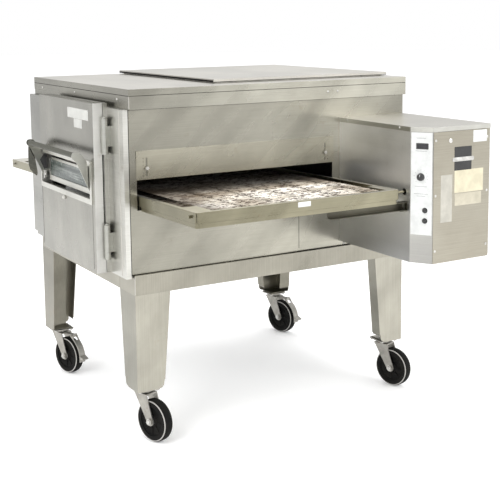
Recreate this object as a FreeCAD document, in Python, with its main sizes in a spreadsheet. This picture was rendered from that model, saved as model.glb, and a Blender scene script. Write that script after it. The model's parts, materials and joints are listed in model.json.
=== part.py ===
import FreeCAD, Part
import math
import os
import Sketcher
from FreeCAD import Placement, Rotation, Vector

# Conveyor pizza oven on casters, in millimetres.
# +Z is up and Z = 0 is the floor. -Y is the door side, and the conveyor runs along X.
# The origin is the middle of the bounding box, on the floor.
# Each sub-part is one object of the document whose Label is the node's name.
# A cutter runs 1 to 5 mm past each face that it opens.

DOC = FreeCAD.newDocument("ConveyorOven")
SHEET = DOC.addObject("Spreadsheet::Sheet", "Sizes")
PIECES = []

SIZES = {
    # cabinet
    "BodyCentreX": -10,
    "BodyLength": 934,
    "FrontY": -591,
    "FrameDepth": 20,
    "CabinetDepth": 1204,
    "BodyBottom": 609,
    "BodyTop": 1186,
    "SheetThick": 2,
    "FrameLeftLap": 33,
    "FrameDrop": 12,
    # top
    "TopOverhang": 18,
    "TopSetback": 16,
    "SkirtHeight": 47,
    "CoverHeight": 23,
    "SkirtNotchHeight": 21,
    "SkirtNotchRight": 298,
    "RaisedFrontY": -191,
    "RaisedRight": 369,
    "RaisedHeight": 15,
    "RaisedSetback": 14,
    "RaisedFoot": 5,
    # base and legs
    "BaseLap": 13,
    "BaseFrontY": -566,
    "BaseRearY": 605,
    "BaseHeight": 71,
    "BaseFlange": 50,
    "BaseThick": 3,
    "LegTopWidth": 134,
    "LegBottomWidth": 105,
    "LegFlange": 52,
    "LegThick": 3,
    "LegPad": 8,
    "LegCornerRadius": 32,
    # casters
    "CasterHeight": 187,
    "CasterInset": 51,
    "CasterTrail": 50,
    "WheelRadius": 76.2,
    "WheelWidth": 38,
    "AxleRadius": 6,
    "KingpinRadius": 7,
    "RunningClearance": 0.06,
    # conveyor opening and its height plates
    "OpeningFront": 47,
    "OpeningWidth": 817,
    "OpeningBottom": 835,
    "OpeningTop": 950,
    "LeftSillDrop": 20,
    "EyebrowBottom": 941,
    "EyebrowHeight": 101,
    "EyebrowLap": 2,
    "SlotLength": 64,
    "ClampScrewZ": 981,
    "SlotInset": 37,
    # conveyor
    "ConveyorRight": 901.75,
    "ConveyorLeft": 945.75,
    "ConveyorWidth": 795,
    "ConveyorFront": 51,
    "ConveyorBottom": 859,
    "ConveyorHeight": 35,
    "RailFlange": 16,
    "EndFlange": 18,
    "BeltFront": 69,
    "BeltWidth": 678,
    "BeltThick": 5,
    "BeltRadius": 15,
    "ShaftDrop": 17,
    "ShaftInset": 40,
    "ShaftRadius": 5,
    "CrumbPanDepth": 15,
    "CrumbPanLength": 425,
    "SupportTubeHeight": 15.5,
    "ChannelLeftX": 842,
    "ChannelFrontY": -15,
    "ChannelBottom": 813,
    "ChannelTop": 842,
    "ChannelWidth": 30,
    # door
    "DoorLeft": -236,
    "DoorWidth": 558,
    "DoorBottom": 597,
    "DoorHeight": 605,
    "DoorDepth": 36,
    "JambDepth": 16,
    "DoorwayLeft": -218,
    "DoorwayWidth": 502,
    "DoorwayBottom": 632,
    "DoorwayHeight": 535,
    "HingeAxisX": 335.5,
    "HingeAxisY": -608,
    "HingeRadius": 12,
    # access window in the door
    "WindowLeft": -225,
    "WindowWidth": 506,
    "WindowBottom": 859,
    "WindowHeight": 118,
    "FlapAxisY": -634,
    "FlapAxisZ": 890,
    "GripY": -698,
    "GripZ": 1018,
    "GripRadius": 9.5,
    # chamber
    "ChamberFront": -555,
    "ChamberRear": 556,
    "ChamberBottom": 642,
    "ChamberTop": 1152,
    # air system
    "BlowerZ": 896,
    "PlenumFront": 350,
    "PlenumRear": 470,
    "PlenumBottom": 730,
    "PlenumTop": 1060,
    "PlenumHalf": 420,
    "FingerWidth": 185,
    "FingerPitch": 205,
    # control box
    "ControlFront": 308,
    "ControlRear": 614,
    "ControlLength": 495.25,
    "ControlBottom": 628,
    "ControlTop": 1110,
    "ChamferRun": 68,
    "ChamferRise": 46,
}

SWIVEL_ANGLE = 17
CONVEYOR_TILT = 1.2
CHAMFER_ANGLE = math.degrees(math.atan2(SIZES["ChamferRise"], SIZES["ChamferRun"]))


class Dim:
    """A length that knows its number and the sheet formula that gives it."""

    def __init__(self, value, text):
        self.value = float(value)
        self.text = text

    def __add__(self, other):
        other = dim(other)
        return Dim(self.value + other.value, f"({self.text} + {other.text})")

    def __sub__(self, other):
        other = dim(other)
        return Dim(self.value - other.value, f"({self.text} - {other.text})")

    def __mul__(self, other):
        other = dim(other)
        return Dim(self.value * other.value, f"({self.text} * {other.text})")

    def __truediv__(self, other):
        other = dim(other)
        return Dim(self.value / other.value, f"({self.text} / {other.text})")

    def __radd__(self, other):
        return dim(other) + self

    def __rsub__(self, other):
        return dim(other) - self

    def __rmul__(self, other):
        return dim(other) * self

    def __neg__(self):
        return dim(0) - self


def dim(number):
    """Any number as a Dim."""
    return number if isinstance(number, Dim) else Dim(number, f"({float(number)})")


def fill_sheet():
    """Write the driving sizes into the sheet, one alias to a row."""
    for row, (alias, number) in enumerate(SIZES.items(), start=1):
        SHEET.set(f"A{row}", alias)
        SHEET.set(f"B{row}", str(number))
        SHEET.setAlias(f"B{row}", alias)
    DOC.recompute()


def size(alias):
    """The named cell of the sheet."""
    return Dim(SHEET.get(alias), f"Sizes.{alias}")


def bind(thing, prop, length):
    """Drive a property by its formula."""
    thing.setExpression(prop, dim(length).text)


def seat(thing, x, y, z, rotation=Rotation()):
    """Place an object, with each coordinate bound to the sheet."""
    place = [dim(x), dim(y), dim(z)]
    thing.Placement = Placement(Vector(*[p.value for p in place]), rotation)
    for letter, p in zip("xyz", place):
        bind(thing, f"Placement.Base.{letter}", p)
    return thing


# ---- solids ----------------------------------------------------------------

def block(x, y, z):
    """A box between the low and high limits of each axis."""
    solid = DOC.addObject("Part::Box", "Block")
    for prop, span in zip(("Length", "Width", "Height"), (x, y, z)):
        bind(solid, prop, dim(span[1]) - span[0])
    return seat(solid, x[0], y[0], z[0])


TURN = {
    "x": Rotation(Vector(0, 1, 0), 90),
    "y": Rotation(Vector(1, 0, 0), -90),
    "z": Rotation(),
}


def rod(axis, centre, span, radius):
    """A cylinder along an axis; centre holds the other two coordinates in order."""
    solid = DOC.addObject("Part::Cylinder", "Rod")
    bind(solid, "Radius", radius)
    bind(solid, "Height", dim(span[1]) - span[0])
    at = list(centre)
    at.insert("xyz".index(axis), span[0])
    return seat(solid, *at, TURN[axis])


def cut(base, *tools):
    """Base with the tools taken away."""
    result = DOC.addObject("Part::Cut", "Cut")
    result.Base = base
    result.Tool = tools[0] if len(tools) == 1 else fuse(*tools)
    return result


def fuse(*solids):
    """The solids joined into one."""
    result = DOC.addObject("Part::MultiFuse", "Fuse")
    result.Shapes = list(solids)
    result.Refine = True
    return result


def group(*solids):
    """Separate solids that share one node."""
    result = DOC.addObject("Part::Compound", "Group")
    result.Links = list(solids)
    return result


def piece(node, thing):
    """Name an object as a sub-part."""
    thing.Label = node
    PIECES.append(thing)
    return thing


def grow(span, by):
    """A span made longer by the same amount at both ends."""
    return (dim(span[0]) - by, dim(span[1]) + by)


# ---- sketched bodies -------------------------------------------------------

def new_body(name="Body"):
    return DOC.addObject("PartDesign::Body", name)


def new_sketch(body, plane, offset):
    """A sketch on one of the body's own origin planes, moved along its normal."""
    sketch = body.newObject("Sketcher::SketchObject", "Sketch")
    role = f"{plane}_Plane"
    support = [f for f in body.Origin.OriginFeatures if f.Role == role][0]
    sketch.AttachmentSupport = [(support, "")]
    sketch.MapMode = "FlatFace"
    sketch.AttachmentOffset = Placement(Vector(0, 0, dim(offset).value), Rotation())
    bind(sketch, "AttachmentOffset.Base.z", offset)
    return sketch


def pin(sketch, geo, point, x, y):
    """Fix a sketch point to two formulas."""
    for kind, axis, length in (("DistanceX", -2, dim(x)), ("DistanceY", -1, dim(y))):
        if abs(length.value) < 1e-9:
            sketch.addConstraint(Sketcher.Constraint("PointOnObject", geo, point, axis))
            continue
        number = sketch.addConstraint(
            Sketcher.Constraint(kind, -1, 1, geo, point, length.value))
        sketch.setExpression(f"Constraints[{number}]", length.text)


def add_outline(sketch, points):
    """A closed polygon with every corner bound to the sheet."""
    corners = [Vector(dim(x).value, dim(y).value, 0) for x, y in points]
    first = sketch.GeometryCount
    count = len(corners)
    for i, corner in enumerate(corners):
        sketch.addGeometry(Part.LineSegment(corner, corners[(i + 1) % count]), False)
    for i in range(count):
        after = first + (i + 1) % count
        sketch.addConstraint(Sketcher.Constraint("Coincident", first + i, 2, after, 1))
    for i, (x, y) in enumerate(points):
        pin(sketch, first + i, 1, x, y)


def add_circle(sketch, x, y, radius):
    """A circle with its centre and radius bound to the sheet."""
    centre = Vector(dim(x).value, dim(y).value, 0)
    geo = sketch.addGeometry(Part.Circle(centre, Vector(0, 0, 1), dim(radius).value), False)
    pin(sketch, geo, 3, x, y)
    number = sketch.addConstraint(Sketcher.Constraint("Radius", geo, dim(radius).value))
    sketch.setExpression(f"Constraints[{number}]", dim(radius).text)


def pad(body, plane, span, outline=None, circles=()):
    """Add a prism between the low and high limits across a plane."""
    low, high = dim(span[0]), dim(span[1])
    sketch = new_sketch(body, plane, -high if plane == "XZ" else low)
    if outline:
        add_outline(sketch, outline)
    for circle in circles:
        add_circle(sketch, *circle)
    feature = body.newObject("PartDesign::Pad", "Pad")
    feature.Profile = sketch
    feature.Length = (high - low).value
    bind(feature, "Length", high - low)
    return feature


def pocket(body, plane, span, outline=None, circles=()):
    """Take a prism away between the low and high limits across a plane."""
    low, high = dim(span[0]), dim(span[1])
    sketch = new_sketch(body, plane, -low if plane == "XZ" else high)
    if outline:
        add_outline(sketch, outline)
    for circle in circles:
        add_circle(sketch, *circle)
    feature = body.newObject("PartDesign::Pocket", "Pocket")
    feature.Profile = sketch
    feature.Length = (high - low).value
    bind(feature, "Length", high - low)
    return feature


def rounded(body, axis, radius, test=lambda point: True):
    """Fillet the straight edges that run along an axis and pass the test."""
    DOC.recompute()
    along = {"x": Vector(1, 0, 0), "y": Vector(0, 1, 0), "z": Vector(0, 0, 1)}[axis]
    names = []
    base = body.Tip
    for number, edge in enumerate(base.Shape.Edges, start=1):
        if edge.Curve.TypeId != "Part::GeomLine":
            continue
        direction = edge.Curve.Direction
        if abs(direction.dot(along)) > 0.999 and test(edge.CenterOfMass):
            names.append(f"Edge{number}")
    feature = body.newObject("PartDesign::Fillet", "Fillet")
    feature.Base = (base, names)
    feature.Radius = dim(radius).value
    bind(feature, "Radius", radius)
    return feature


def lathe(profile, name="Body"):
    """A body turned about its own Z axis from a profile of (radius, height) points."""
    body = new_body(name)
    sketch = new_sketch(body, "XZ", 0)
    add_outline(sketch, profile)
    feature = body.newObject("PartDesign::Revolution", "Revolution")
    feature.Profile = sketch
    feature.ReferenceAxis = (sketch, ["V_Axis"])
    feature.Angle = 360
    return body


def prism(plane, span, outline=None, circles=()):
    """A body of one pad."""
    body = new_body()
    pad(body, plane, span, outline, circles)
    return body


def rectangle(x, y):
    """The four corners of a rectangle."""
    return [(x[0], y[0]), (x[1], y[0]), (x[1], y[1]), (x[0], y[1])]


fill_sheet()

# ---- shared planes ---------------------------------------------------------

THICK = size("SheetThick")
CENTRE_X = size("BodyCentreX")
BODY_X = (CENTRE_X - size("BodyLength") / 2, CENTRE_X + size("BodyLength") / 2)
BODY_Y = (size("FrontY") + size("FrameDepth"), size("FrontY") + size("CabinetDepth"))
BODY_Z = (size("BodyBottom"), size("BodyTop"))
OPENING_Y = (size("FrontY") + size("OpeningFront"),
             size("FrontY") + size("OpeningFront") + size("OpeningWidth"))
DOORWAY_X = (size("DoorwayLeft"), size("DoorwayLeft") + size("DoorwayWidth"))
DOORWAY_Z = (size("DoorwayBottom"), size("DoorwayBottom") + size("DoorwayHeight"))
WINDOW_X = (size("WindowLeft"), size("WindowLeft") + size("WindowWidth"))
WINDOW_Z = (size("WindowBottom"), size("WindowBottom") + size("WindowHeight"))
BASE_X = (BODY_X[0] - size("BaseLap"), BODY_X[1] + size("BaseLap"))
BASE_Y = (size("BaseFrontY"), size("BaseRearY"))
BASE_Z = (BODY_Z[0] - size("BaseHeight"), BODY_Z[0])
LEFT_SILL = size("OpeningBottom") - size("LeftSillDrop")
CONVEYOR_X = (CENTRE_X - size("ConveyorLeft"), CENTRE_X + size("ConveyorRight"))
CONVEYOR_Y = (size("FrontY") + size("ConveyorFront"),
              size("FrontY") + size("ConveyorFront") + size("ConveyorWidth"))
CONVEYOR_Z = (size("ConveyorBottom"), size("ConveyorBottom") + size("ConveyorHeight"))
BELT_Y = (CONVEYOR_Y[0] + size("BeltFront"), CONVEYOR_Y[0] + size("BeltFront") + size("BeltWidth"))
SHAFT_Z = CONVEYOR_Z[1] - size("ShaftDrop")
DRIVE_X = CONVEYOR_X[1] - size("ShaftInset")
IDLER_X = CONVEYOR_X[0] + size("ShaftInset")
DOOR_X = (size("DoorLeft"), size("DoorLeft") + size("DoorWidth"))
DOOR_Z = (size("DoorBottom"), size("DoorBottom") + size("DoorHeight"))
JAMB_Y = (size("FrontY") - size("JambDepth"), size("FrontY"))
DOOR_Y = (JAMB_Y[0] - 2 - size("DoorDepth"), JAMB_Y[0] - 2)
CONTROL_X = (BODY_X[1], BODY_X[1] + size("ControlLength"))
CONTROL_Y = (size("ControlFront"), size("ControlRear"))
CONTROL_Z = (size("ControlBottom"), size("ControlTop"))


# ---- stand -----------------------------------------------------------------

def make_base_frame():
    """A ring of C-channel with its flanges turned inward."""
    wall = size("BaseThick")
    flange = size("BaseFlange")
    seam = BASE_X[1] - size("LegTopWidth")
    ring = cut(
        block(BASE_X, BASE_Y, BASE_Z),
        block(grow(BASE_X, -wall), grow(BASE_Y, -wall), grow(BASE_Z, -wall)),
        block(grow(BASE_X, -flange), grow(BASE_Y, -flange), grow(BASE_Z, 5)),
        block((seam, seam + 2), (BASE_Y[0] - 1, BASE_Y[0] + 1), grow(BASE_Z, 1)))
    piece("base_frame", ring)


def leg_section(width):
    """The folded L of a leg: two walls with return flanges."""
    flange = size("LegFlange")
    wall = size("LegThick")
    inside = width - wall
    return [(width, flange), (width, 0), (0, 0), (0, width), (flange, width),
            (flange, inside), (wall, inside), (wall, wall), (inside, wall), (inside, flange)]


def make_leg(node, corner_x, corner_y, turn):
    """A tapered sheet leg, built with its outer corner on the Z axis, then turned."""
    body = new_body()
    bottom = size("CasterHeight")
    top = BASE_Z[0] - size("LegPad")
    sections = []
    for height, width in ((bottom, size("LegBottomWidth")), (top, size("LegTopWidth"))):
        sketch = new_sketch(body, "XY", height)
        add_outline(sketch, leg_section(width))
        sections.append(sketch)
    loft = body.newObject("PartDesign::AdditiveLoft", "Loft")
    loft.Profile = sections[0]
    loft.Sections = [sections[1]]
    loft.Ruled = True
    pad_side = size("LegTopWidth")
    pad(body, "XY", (top, BASE_Z[0]), rectangle((0, pad_side), (0, pad_side)))
    foot = size("LegBottomWidth") - 20
    wall = size("LegThick")
    pad(body, "XY", (bottom, bottom + 4), rectangle((wall - 1, foot), (wall - 1, foot)))
    radius = size("LegCornerRadius")
    low, high = bottom - 1, bottom + radius
    outer, inner = size("LegBottomWidth") + 6, size("LegBottomWidth") - radius
    for plane in ("XZ", "YZ"):
        pocket(body, plane, (-1, size("LegFlange") + 1),
               [(outer, low), (outer, high), (inner + radius, high),
                (inner + radius * 0.92, high - radius * 0.61),
                (inner + radius * 0.71, high - radius * 0.71 - 4),
                (inner + radius * 0.3, high - radius * 0.97),
                (inner, low)])
    seat(body, corner_x, corner_y, 0, Rotation(Vector(0, 0, 1), turn))
    piece(node, body)


CORNERS = {
    "front_left": (BASE_X[0], BASE_Y[0], 1, 1, 0),
    "front_right": (BASE_X[1], BASE_Y[0], -1, 1, 90),
    "rear_right": (BASE_X[1], BASE_Y[1], -1, -1, 180),
    "rear_left": (BASE_X[0], BASE_Y[1], 1, -1, 270),
}


def kingpin_place(corner):
    """Where a caster's kingpin stands."""
    x, y, toward_x, toward_y, turn = CORNERS[corner]
    inset = size("CasterInset")
    return x + toward_x * inset, y + toward_y * inset


# The top plate of a caster, the ball race under it and its bolt holes.
PLATE_HALF = 42
PLATE_THICK = 4
RACE_HEIGHT = 10
RACE_RADIUS = 27
BOLT_REACH = 33
BOLT_RADIUS = 4
# A fork's gap beside the wheel, its sheet, and its crown along the fork's own X.
PRONG_GAP = 3
PRONG_THICK = 4
CROWN_X = (-28, 34)
# The brake's pin, from the kingpin and down from the plate's top.
BRAKE_X = 84
BRAKE_DROP = 20
BRAKE_PIN_RADIUS = 3
BRAKED = ("front_left", "rear_left")


def caster_plate(corner):
    """The fixed top plate of a caster with its ball race and kingpin bore."""
    body = new_body()
    top = size("CasterHeight")
    under = top - PLATE_THICK
    race = under - RACE_HEIGHT
    pad(body, "XY", (under, top), rectangle((-PLATE_HALF, PLATE_HALF), (-PLATE_HALF, PLATE_HALF)))
    pad(body, "XY", (race, under), circles=[(0, 0, RACE_RADIUS)])
    pocket(body, "XY", (race - 1, top + 1),
           circles=[(0, 0, size("KingpinRadius") + size("RunningClearance"))])
    bolts = [(sx * BOLT_REACH, sy * BOLT_REACH, BOLT_RADIUS) for sx in (-1, 1) for sy in (-1, 1)]
    pocket(body, "XY", (under - 1, top + 1), circles=bolts)
    rounded(body, "z", 8, lambda p: abs(p.x) > PLATE_HALF - 1 and abs(p.y) > PLATE_HALF - 1)
    x, y = kingpin_place(corner)
    return seat(body, x, y, 0)


def make_fork(corner):
    """A swivelling fork: crown, two raked prongs, kingpin and riveted axle."""
    body = new_body()
    race = size("CasterHeight") - PLATE_THICK - RACE_HEIGHT
    top = race - 2
    reach = size("WheelWidth") / 2 + PRONG_GAP
    outside = reach + PRONG_THICK
    radius = size("WheelRadius")
    trail = size("CasterTrail")
    pad(body, "XY", (top - 5, top), rectangle(CROWN_X, (-outside, outside)))
    for span in ((reach, outside), (-outside, -reach)):
        pad(body, "XZ", span,
            [(CROWN_X[0], top), (CROWN_X[1], top), (trail + 17, radius + 2), (trail + 13, radius - 10),
             (trail + 4, radius - 16), (trail - 6, radius - 15), (trail - 15, radius - 4)])
    pad(body, "XY", (top, top + 15), circles=[(0, 0, size("KingpinRadius"))])
    axle_end = outside + 6
    pad(body, "XZ", (-axle_end, axle_end), circles=[(trail, radius, size("AxleRadius"))])
    for span in ((outside, axle_end - 1), (1 - axle_end, -outside)):
        pad(body, "XZ", span, circles=[(trail, radius, 10)])
    if corner in BRAKED:
        arm_x = CROWN_X[1]
        pad(body, "XZ", (-10, 10), [(arm_x, top - 5), (72, top - 5), (76, top - 10), (92, top - 10),
                                    (92, top + 1), (72, top), (arm_x, top)])
        pad(body, "XZ", (-17, 17), circles=[(BRAKE_X, top - 4, BRAKE_PIN_RADIUS)])
    x, y = kingpin_place(corner)
    seat(body, x, y, 0, Rotation(Vector(0, 0, 1), SWIVEL_ANGLE))
    piece(f"caster_fork_{corner}", body)


def trail_point(corner, along, across=0):
    """A point beside a kingpin, along and across the fork's own direction."""
    x, y = kingpin_place(corner)
    cosine = math.cos(math.radians(SWIVEL_ANGLE))
    sine = math.sin(math.radians(SWIVEL_ANGLE))
    return x + along * cosine - across * sine, y + along * sine + across * cosine


def make_wheel(corner):
    """A hard rubber wheel with stepped sides and a bored hub."""
    half = size("WheelWidth") / 2
    radius = size("WheelRadius")
    bore = size("AxleRadius") + size("RunningClearance")
    profile = [(bore, -half - 2), (18, -half - 2), (20, -half + 3), (46, -half + 5),
               (52, -half + 1), (radius - 9, -half), (radius - 2.5, -half + 4),
               (radius, -half + 10), (radius, half - 10), (radius - 2.5, half - 4),
               (radius - 9, half), (52, half - 1), (46, half - 5), (20, half - 3),
               (18, half + 2), (bore, half + 2)]
    body = lathe(profile)
    x, y = trail_point(corner, size("CasterTrail"))
    spin = Rotation(Vector(0, 0, 1), SWIVEL_ANGLE) * Rotation(Vector(1, 0, 0), -90)
    seat(body, x, y, radius, spin)
    piece(f"caster_wheel_{corner}", body)


def make_brake(corner):
    """A foot lever that hangs on two cheeks from the fork and curves round the tread."""
    centre_x, centre_z = size("CasterTrail"), size("WheelRadius")
    pivot_x, pivot_z = BRAKE_X, size("CasterHeight") - BRAKE_DROP
    inner, outer = 88, 92
    bend = [math.radians(54 - 9 * step) for step in range(8)]
    outside = [(centre_x + outer * math.cos(a), centre_z + outer * math.sin(a)) for a in bend]
    inside = [(centre_x + inner * math.cos(a), centre_z + inner * math.sin(a)) for a in bend]
    pedal = [(centre_x + 112, centre_z + 4), (centre_x + 112, centre_z)]
    body = prism("XZ", (-14, 14), outside[:6] + pedal + outside[6:] + inside[::-1])
    for span in ((-14, -11), (11, 14)):
        pad(body, "XZ", span, [(pivot_x - 7, pivot_z - 2), (pivot_x + 1, pivot_z + 7),
                               (pivot_x + 8, pivot_z + 1), outside[0], outside[2], inside[2], inside[0]])
    pocket(body, "XZ", (-15, 15), circles=[(pivot_x, pivot_z, BRAKE_PIN_RADIUS + size("RunningClearance"))])
    x, y = kingpin_place(corner)
    seat(body, x, y, 0, Rotation(Vector(0, 0, 1), SWIVEL_ANGLE))
    piece(f"caster_brake_{corner}", body)


# ---- cabinet ---------------------------------------------------------------

def slot_places():
    """Y of the two eyebrow slots."""
    inset = size("SlotInset")
    return OPENING_Y[0] + inset, OPENING_Y[1] - inset


def make_end_panel(side, x, sill):
    """An end wall with the conveyor opening and the clamp-screw holes."""
    opening_z = (sill, size("OpeningTop"))
    holes = [rod("x", (y, size("ClampScrewZ")), grow(x, 1), 2.45) for y in slot_places()]
    panel = cut(block(x, BODY_Y, BODY_Z), block(grow(x, 1), OPENING_Y, opening_z), *holes)
    piece(f"end_panel_{side}", panel)


def make_rear_panel():
    """The rear wall with a hole for the blower shaft."""
    x = grow(BODY_X, -THICK)
    y = (BODY_Y[1] - THICK, BODY_Y[1])
    hole = rod("y", (CENTRE_X, size("BlowerZ")), grow(y, 1), 40)
    piece("rear_panel", cut(block(x, y, BODY_Z), hole))


def make_front_frame():
    """A folded front frame round the doorway, with a raised jamb to close on."""
    x = (BODY_X[0] - size("FrameLeftLap"), BODY_X[1])
    y = (size("FrontY"), BODY_Y[0])
    z = (BODY_Z[0] - size("FrameDrop"), BODY_Z[1])
    hollow = cut(block(grow(x, -THICK), (y[0] + THICK, y[1] + 1), grow(z, -THICK)),
                 block(grow(DOORWAY_X, THICK), grow(y, 5), grow(DOORWAY_Z, THICK)))
    jamb = block(DOOR_X, JAMB_Y, DOOR_Z)
    doorway = block(DOORWAY_X, (JAMB_Y[0] - 1, y[1] + 1), DOORWAY_Z)
    notch = block(grow(DOOR_X, 1), (y[0], y[1] + 1), (BODY_Z[1], DOOR_Z[1] + 1))
    corner = block((x[0] - 1, BODY_X[0]), grow(y, 1), (z[0] - 1, BODY_Z[0]))
    frame = cut(fuse(block(x, y, z), jamb), hollow, doorway, notch, corner)
    piece("front_frame", frame)


def make_bottom_pan():
    x = grow(BODY_X, -THICK)
    y = (BODY_Y[0], BODY_Y[1] - THICK)
    piece("bottom_pan", block(x, y, (BODY_Z[0], BODY_Z[0] + THICK)))


def make_chamber():
    """The baking chamber: a liner with both ends and its front open."""
    x = grow(BODY_X, -THICK - 1)
    y = (size("ChamberFront"), size("ChamberRear"))
    z = (size("ChamberBottom"), size("ChamberTop"))
    liner = cut(
        block(x, y, z),
        block(grow(x, -THICK), grow(y, -THICK), grow(z, -THICK)),
        block(grow(x, 5), OPENING_Y, (LEFT_SILL, size("OpeningTop"))),
        block(DOORWAY_X, (y[0] - 1, y[0] + 5), grow(z, -10)),
        rod("y", (CENTRE_X, size("BlowerZ")), (y[1] - 10, y[1] + 1), 14))
    piece("chamber_liner", liner)


def make_top():
    """Skirt, cover and the raised rear panel."""
    lap = size("TopOverhang")
    x = grow(BODY_X, lap)
    y = (size("FrontY") + size("TopSetback"), BODY_Y[1])
    skirt_z = (BODY_Z[1], BODY_Z[1] + size("SkirtHeight"))
    cover_z = (skirt_z[1], skirt_z[1] + size("CoverHeight"))
    ledge = size("TopOverhang") + 6
    notch = block((x[0] - 1, size("SkirtNotchRight")), (y[0] - 1, y[0] + THICK),
                  (skirt_z[0] - 1, skirt_z[0] + size("SkirtNotchHeight")))
    inside_z = (skirt_z[0] + THICK, skirt_z[1] + 1)
    skirt = cut(block(x, y, skirt_z),
                block(grow(x, -THICK), (y[0] + THICK * 2, y[1] - THICK), inside_z),
                block(grow(x, -ledge), grow(y, -ledge), grow(skirt_z, 1)),
                notch)
    piece("top_skirt", skirt)
    cover = cut(block(x, y, cover_z),
                block(grow(x, -THICK), grow(y, -THICK), (cover_z[0] - 1, cover_z[1] - THICK)))
    piece("top_cover", cover)
    setback = size("RaisedSetback")
    foot_top = cover_z[1] + size("RaisedFoot")
    raised_x = (x[0], size("RaisedRight"))
    raised_y = (size("RaisedFrontY"), y[1] - setback)
    raised_z = (cover_z[1], cover_z[1] + size("RaisedHeight"))
    foot = block(grow(raised_x, -setback), grow(raised_y, -setback), (raised_z[0], foot_top))
    slab = block(raised_x, raised_y, (foot_top - 1, raised_z[1]))
    hollow = block(grow(raised_x, -setback - THICK), grow(raised_y, -setback - THICK),
                   (raised_z[0] - 1, raised_z[1] - THICK))
    piece("top_panel", cut(fuse(foot, slab), hollow))


def make_eyebrow(side, x):
    """A sliding plate that sets the height of the opening."""
    y = (OPENING_Y[0] - size("EyebrowLap"), OPENING_Y[1] + size("EyebrowLap") + 2)
    z = (size("EyebrowBottom"), size("EyebrowBottom") + size("EyebrowHeight"))
    tools = []
    for slot_y, toward in zip(slot_places(), (-1, 1)):
        slot_z = (z[0] + 12, z[0] + 12 + size("SlotLength"))
        tools.append(block(grow(x, 1), (slot_y - 3, slot_y + 3), slot_z))
        for step in range(6):
            tools.append(rod("x", (slot_y + toward * 13, z[0] + 14 + step * 12), grow(x, 1), 2))
    piece(f"eyebrow_{side}", cut(block(x, y, z), *tools))


def make_eyebrow_screws():
    """Thumb screws that clamp the two eyebrows to the end walls."""
    screws = []
    for wall, out in ((BODY_X[1], 1), (BODY_X[0], -1)):
        for y in slot_places():
            z = size("ClampScrewZ")
            shank = (wall - THICK * out * 1.5, wall + 3.4 * out)
            head = (wall + 3.4 * out, wall + 13 * out)
            spans = [s if out == 1 else s[::-1] for s in (shank, head)]
            screws.append(fuse(rod("x", (y, z), spans[0], 2.4), rod("x", (y, z), spans[1], 7)))
    piece("eyebrow_screws", group(*screws))


# ---- door ------------------------------------------------------------------

def make_door_shell():
    """A folded pan with a sleeve round the access window."""
    hollow = cut(block(grow(DOOR_X, -THICK), (DOOR_Y[0] + THICK, DOOR_Y[1] + 1), grow(DOOR_Z, -THICK)),
                 block(grow(WINDOW_X, THICK), grow(DOOR_Y, 5), grow(WINDOW_Z, THICK)))
    window = block(WINDOW_X, grow(DOOR_Y, 5), WINDOW_Z)
    bore = rod("x", (size("FlapAxisY"), size("FlapAxisZ")), grow(WINDOW_X, 4),
               4 + size("RunningClearance"))
    piece("door_shell", cut(block(DOOR_X, DOOR_Y, DOOR_Z), hollow, window, bore))


def make_door_liner():
    """The insulated plug that fills the doorway, with a tunnel behind the window."""
    flange_y = (DOOR_Y[1] - THICK, DOOR_Y[1])
    flange = block(grow(DOOR_X, -THICK), flange_y, grow(DOOR_Z, -THICK))
    plug_x = grow(DOORWAY_X, -5)
    plug_z = grow(DOORWAY_Z, -5)
    plug_y = (DOOR_Y[1], size("ChamberFront") - 6)
    tunnel_x = grow(plug_x, -6)
    tunnel_z = grow(WINDOW_Z, 6)
    hollow = cut(block(grow(plug_x, -THICK), (flange_y[0] - 1, plug_y[1] - THICK), grow(plug_z, -THICK)),
                 block(grow(tunnel_x, THICK), grow(plug_y, 20), grow(tunnel_z, THICK)))
    tunnel = block(tunnel_x, (flange_y[0] - 2, plug_y[1] + 1), tunnel_z)
    sleeve = block(grow(WINDOW_X, THICK + 0.5), (flange_y[0] - 1, flange_y[1]), grow(WINDOW_Z, THICK + 0.5))
    piece("door_liner", cut(fuse(flange, block(plug_x, plug_y, plug_z)), hollow, tunnel, sleeve))


HINGES = ((1024, 1150), (648, 772))
KNUCKLE = 27
PIN_RADIUS = 5


def hinge_knuckle(span, leaf_x, leaf_y):
    """One knuckle with its leaf, bored for the pin."""
    axis = (size("HingeAxisX"), size("HingeAxisY"))
    body = rod("z", axis, span, size("HingeRadius"))
    leaf = block(leaf_x, leaf_y, span)
    return cut(fuse(body, leaf), rod("z", axis, grow(span, 1), PIN_RADIUS + size("RunningClearance")))


def make_hinges():
    """Two three-knuckle hinges: outer knuckles on the door, middle one on the frame."""
    door_side = []
    frame_side = []
    edge = DOOR_X[1]
    axis_x, axis_y = size("HingeAxisX"), size("HingeAxisY")
    for low, high in HINGES:
        for span in ((low, low + KNUCKLE), (high - KNUCKLE, high)):
            door_side.append(hinge_knuckle(span, (edge, axis_x), (DOOR_Y[1] - 6, DOOR_Y[1] - 2)))
        middle = (low + KNUCKLE + 0.5, high - KNUCKLE - 0.5)
        mount_y = (axis_y + 2, size("FrontY"))
        knuckle = hinge_knuckle(middle, (axis_x, axis_x + size("HingeRadius") - 1), mount_y)
        pin = rod("z", (axis_x, axis_y), (low - 4, high + 4), PIN_RADIUS)
        cap = rod("z", (axis_x, axis_y), (high + 0.5, high + 5), 8)
        weld = rod("z", (axis_x, axis_y), (middle[0] + 5, middle[1] - 5), PIN_RADIUS + 1)
        frame_side.append(fuse(knuckle, pin, cap, weld))
    piece("door_hinge_knuckles", group(*door_side))
    piece("frame_hinge_knuckles", group(*frame_side))


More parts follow.
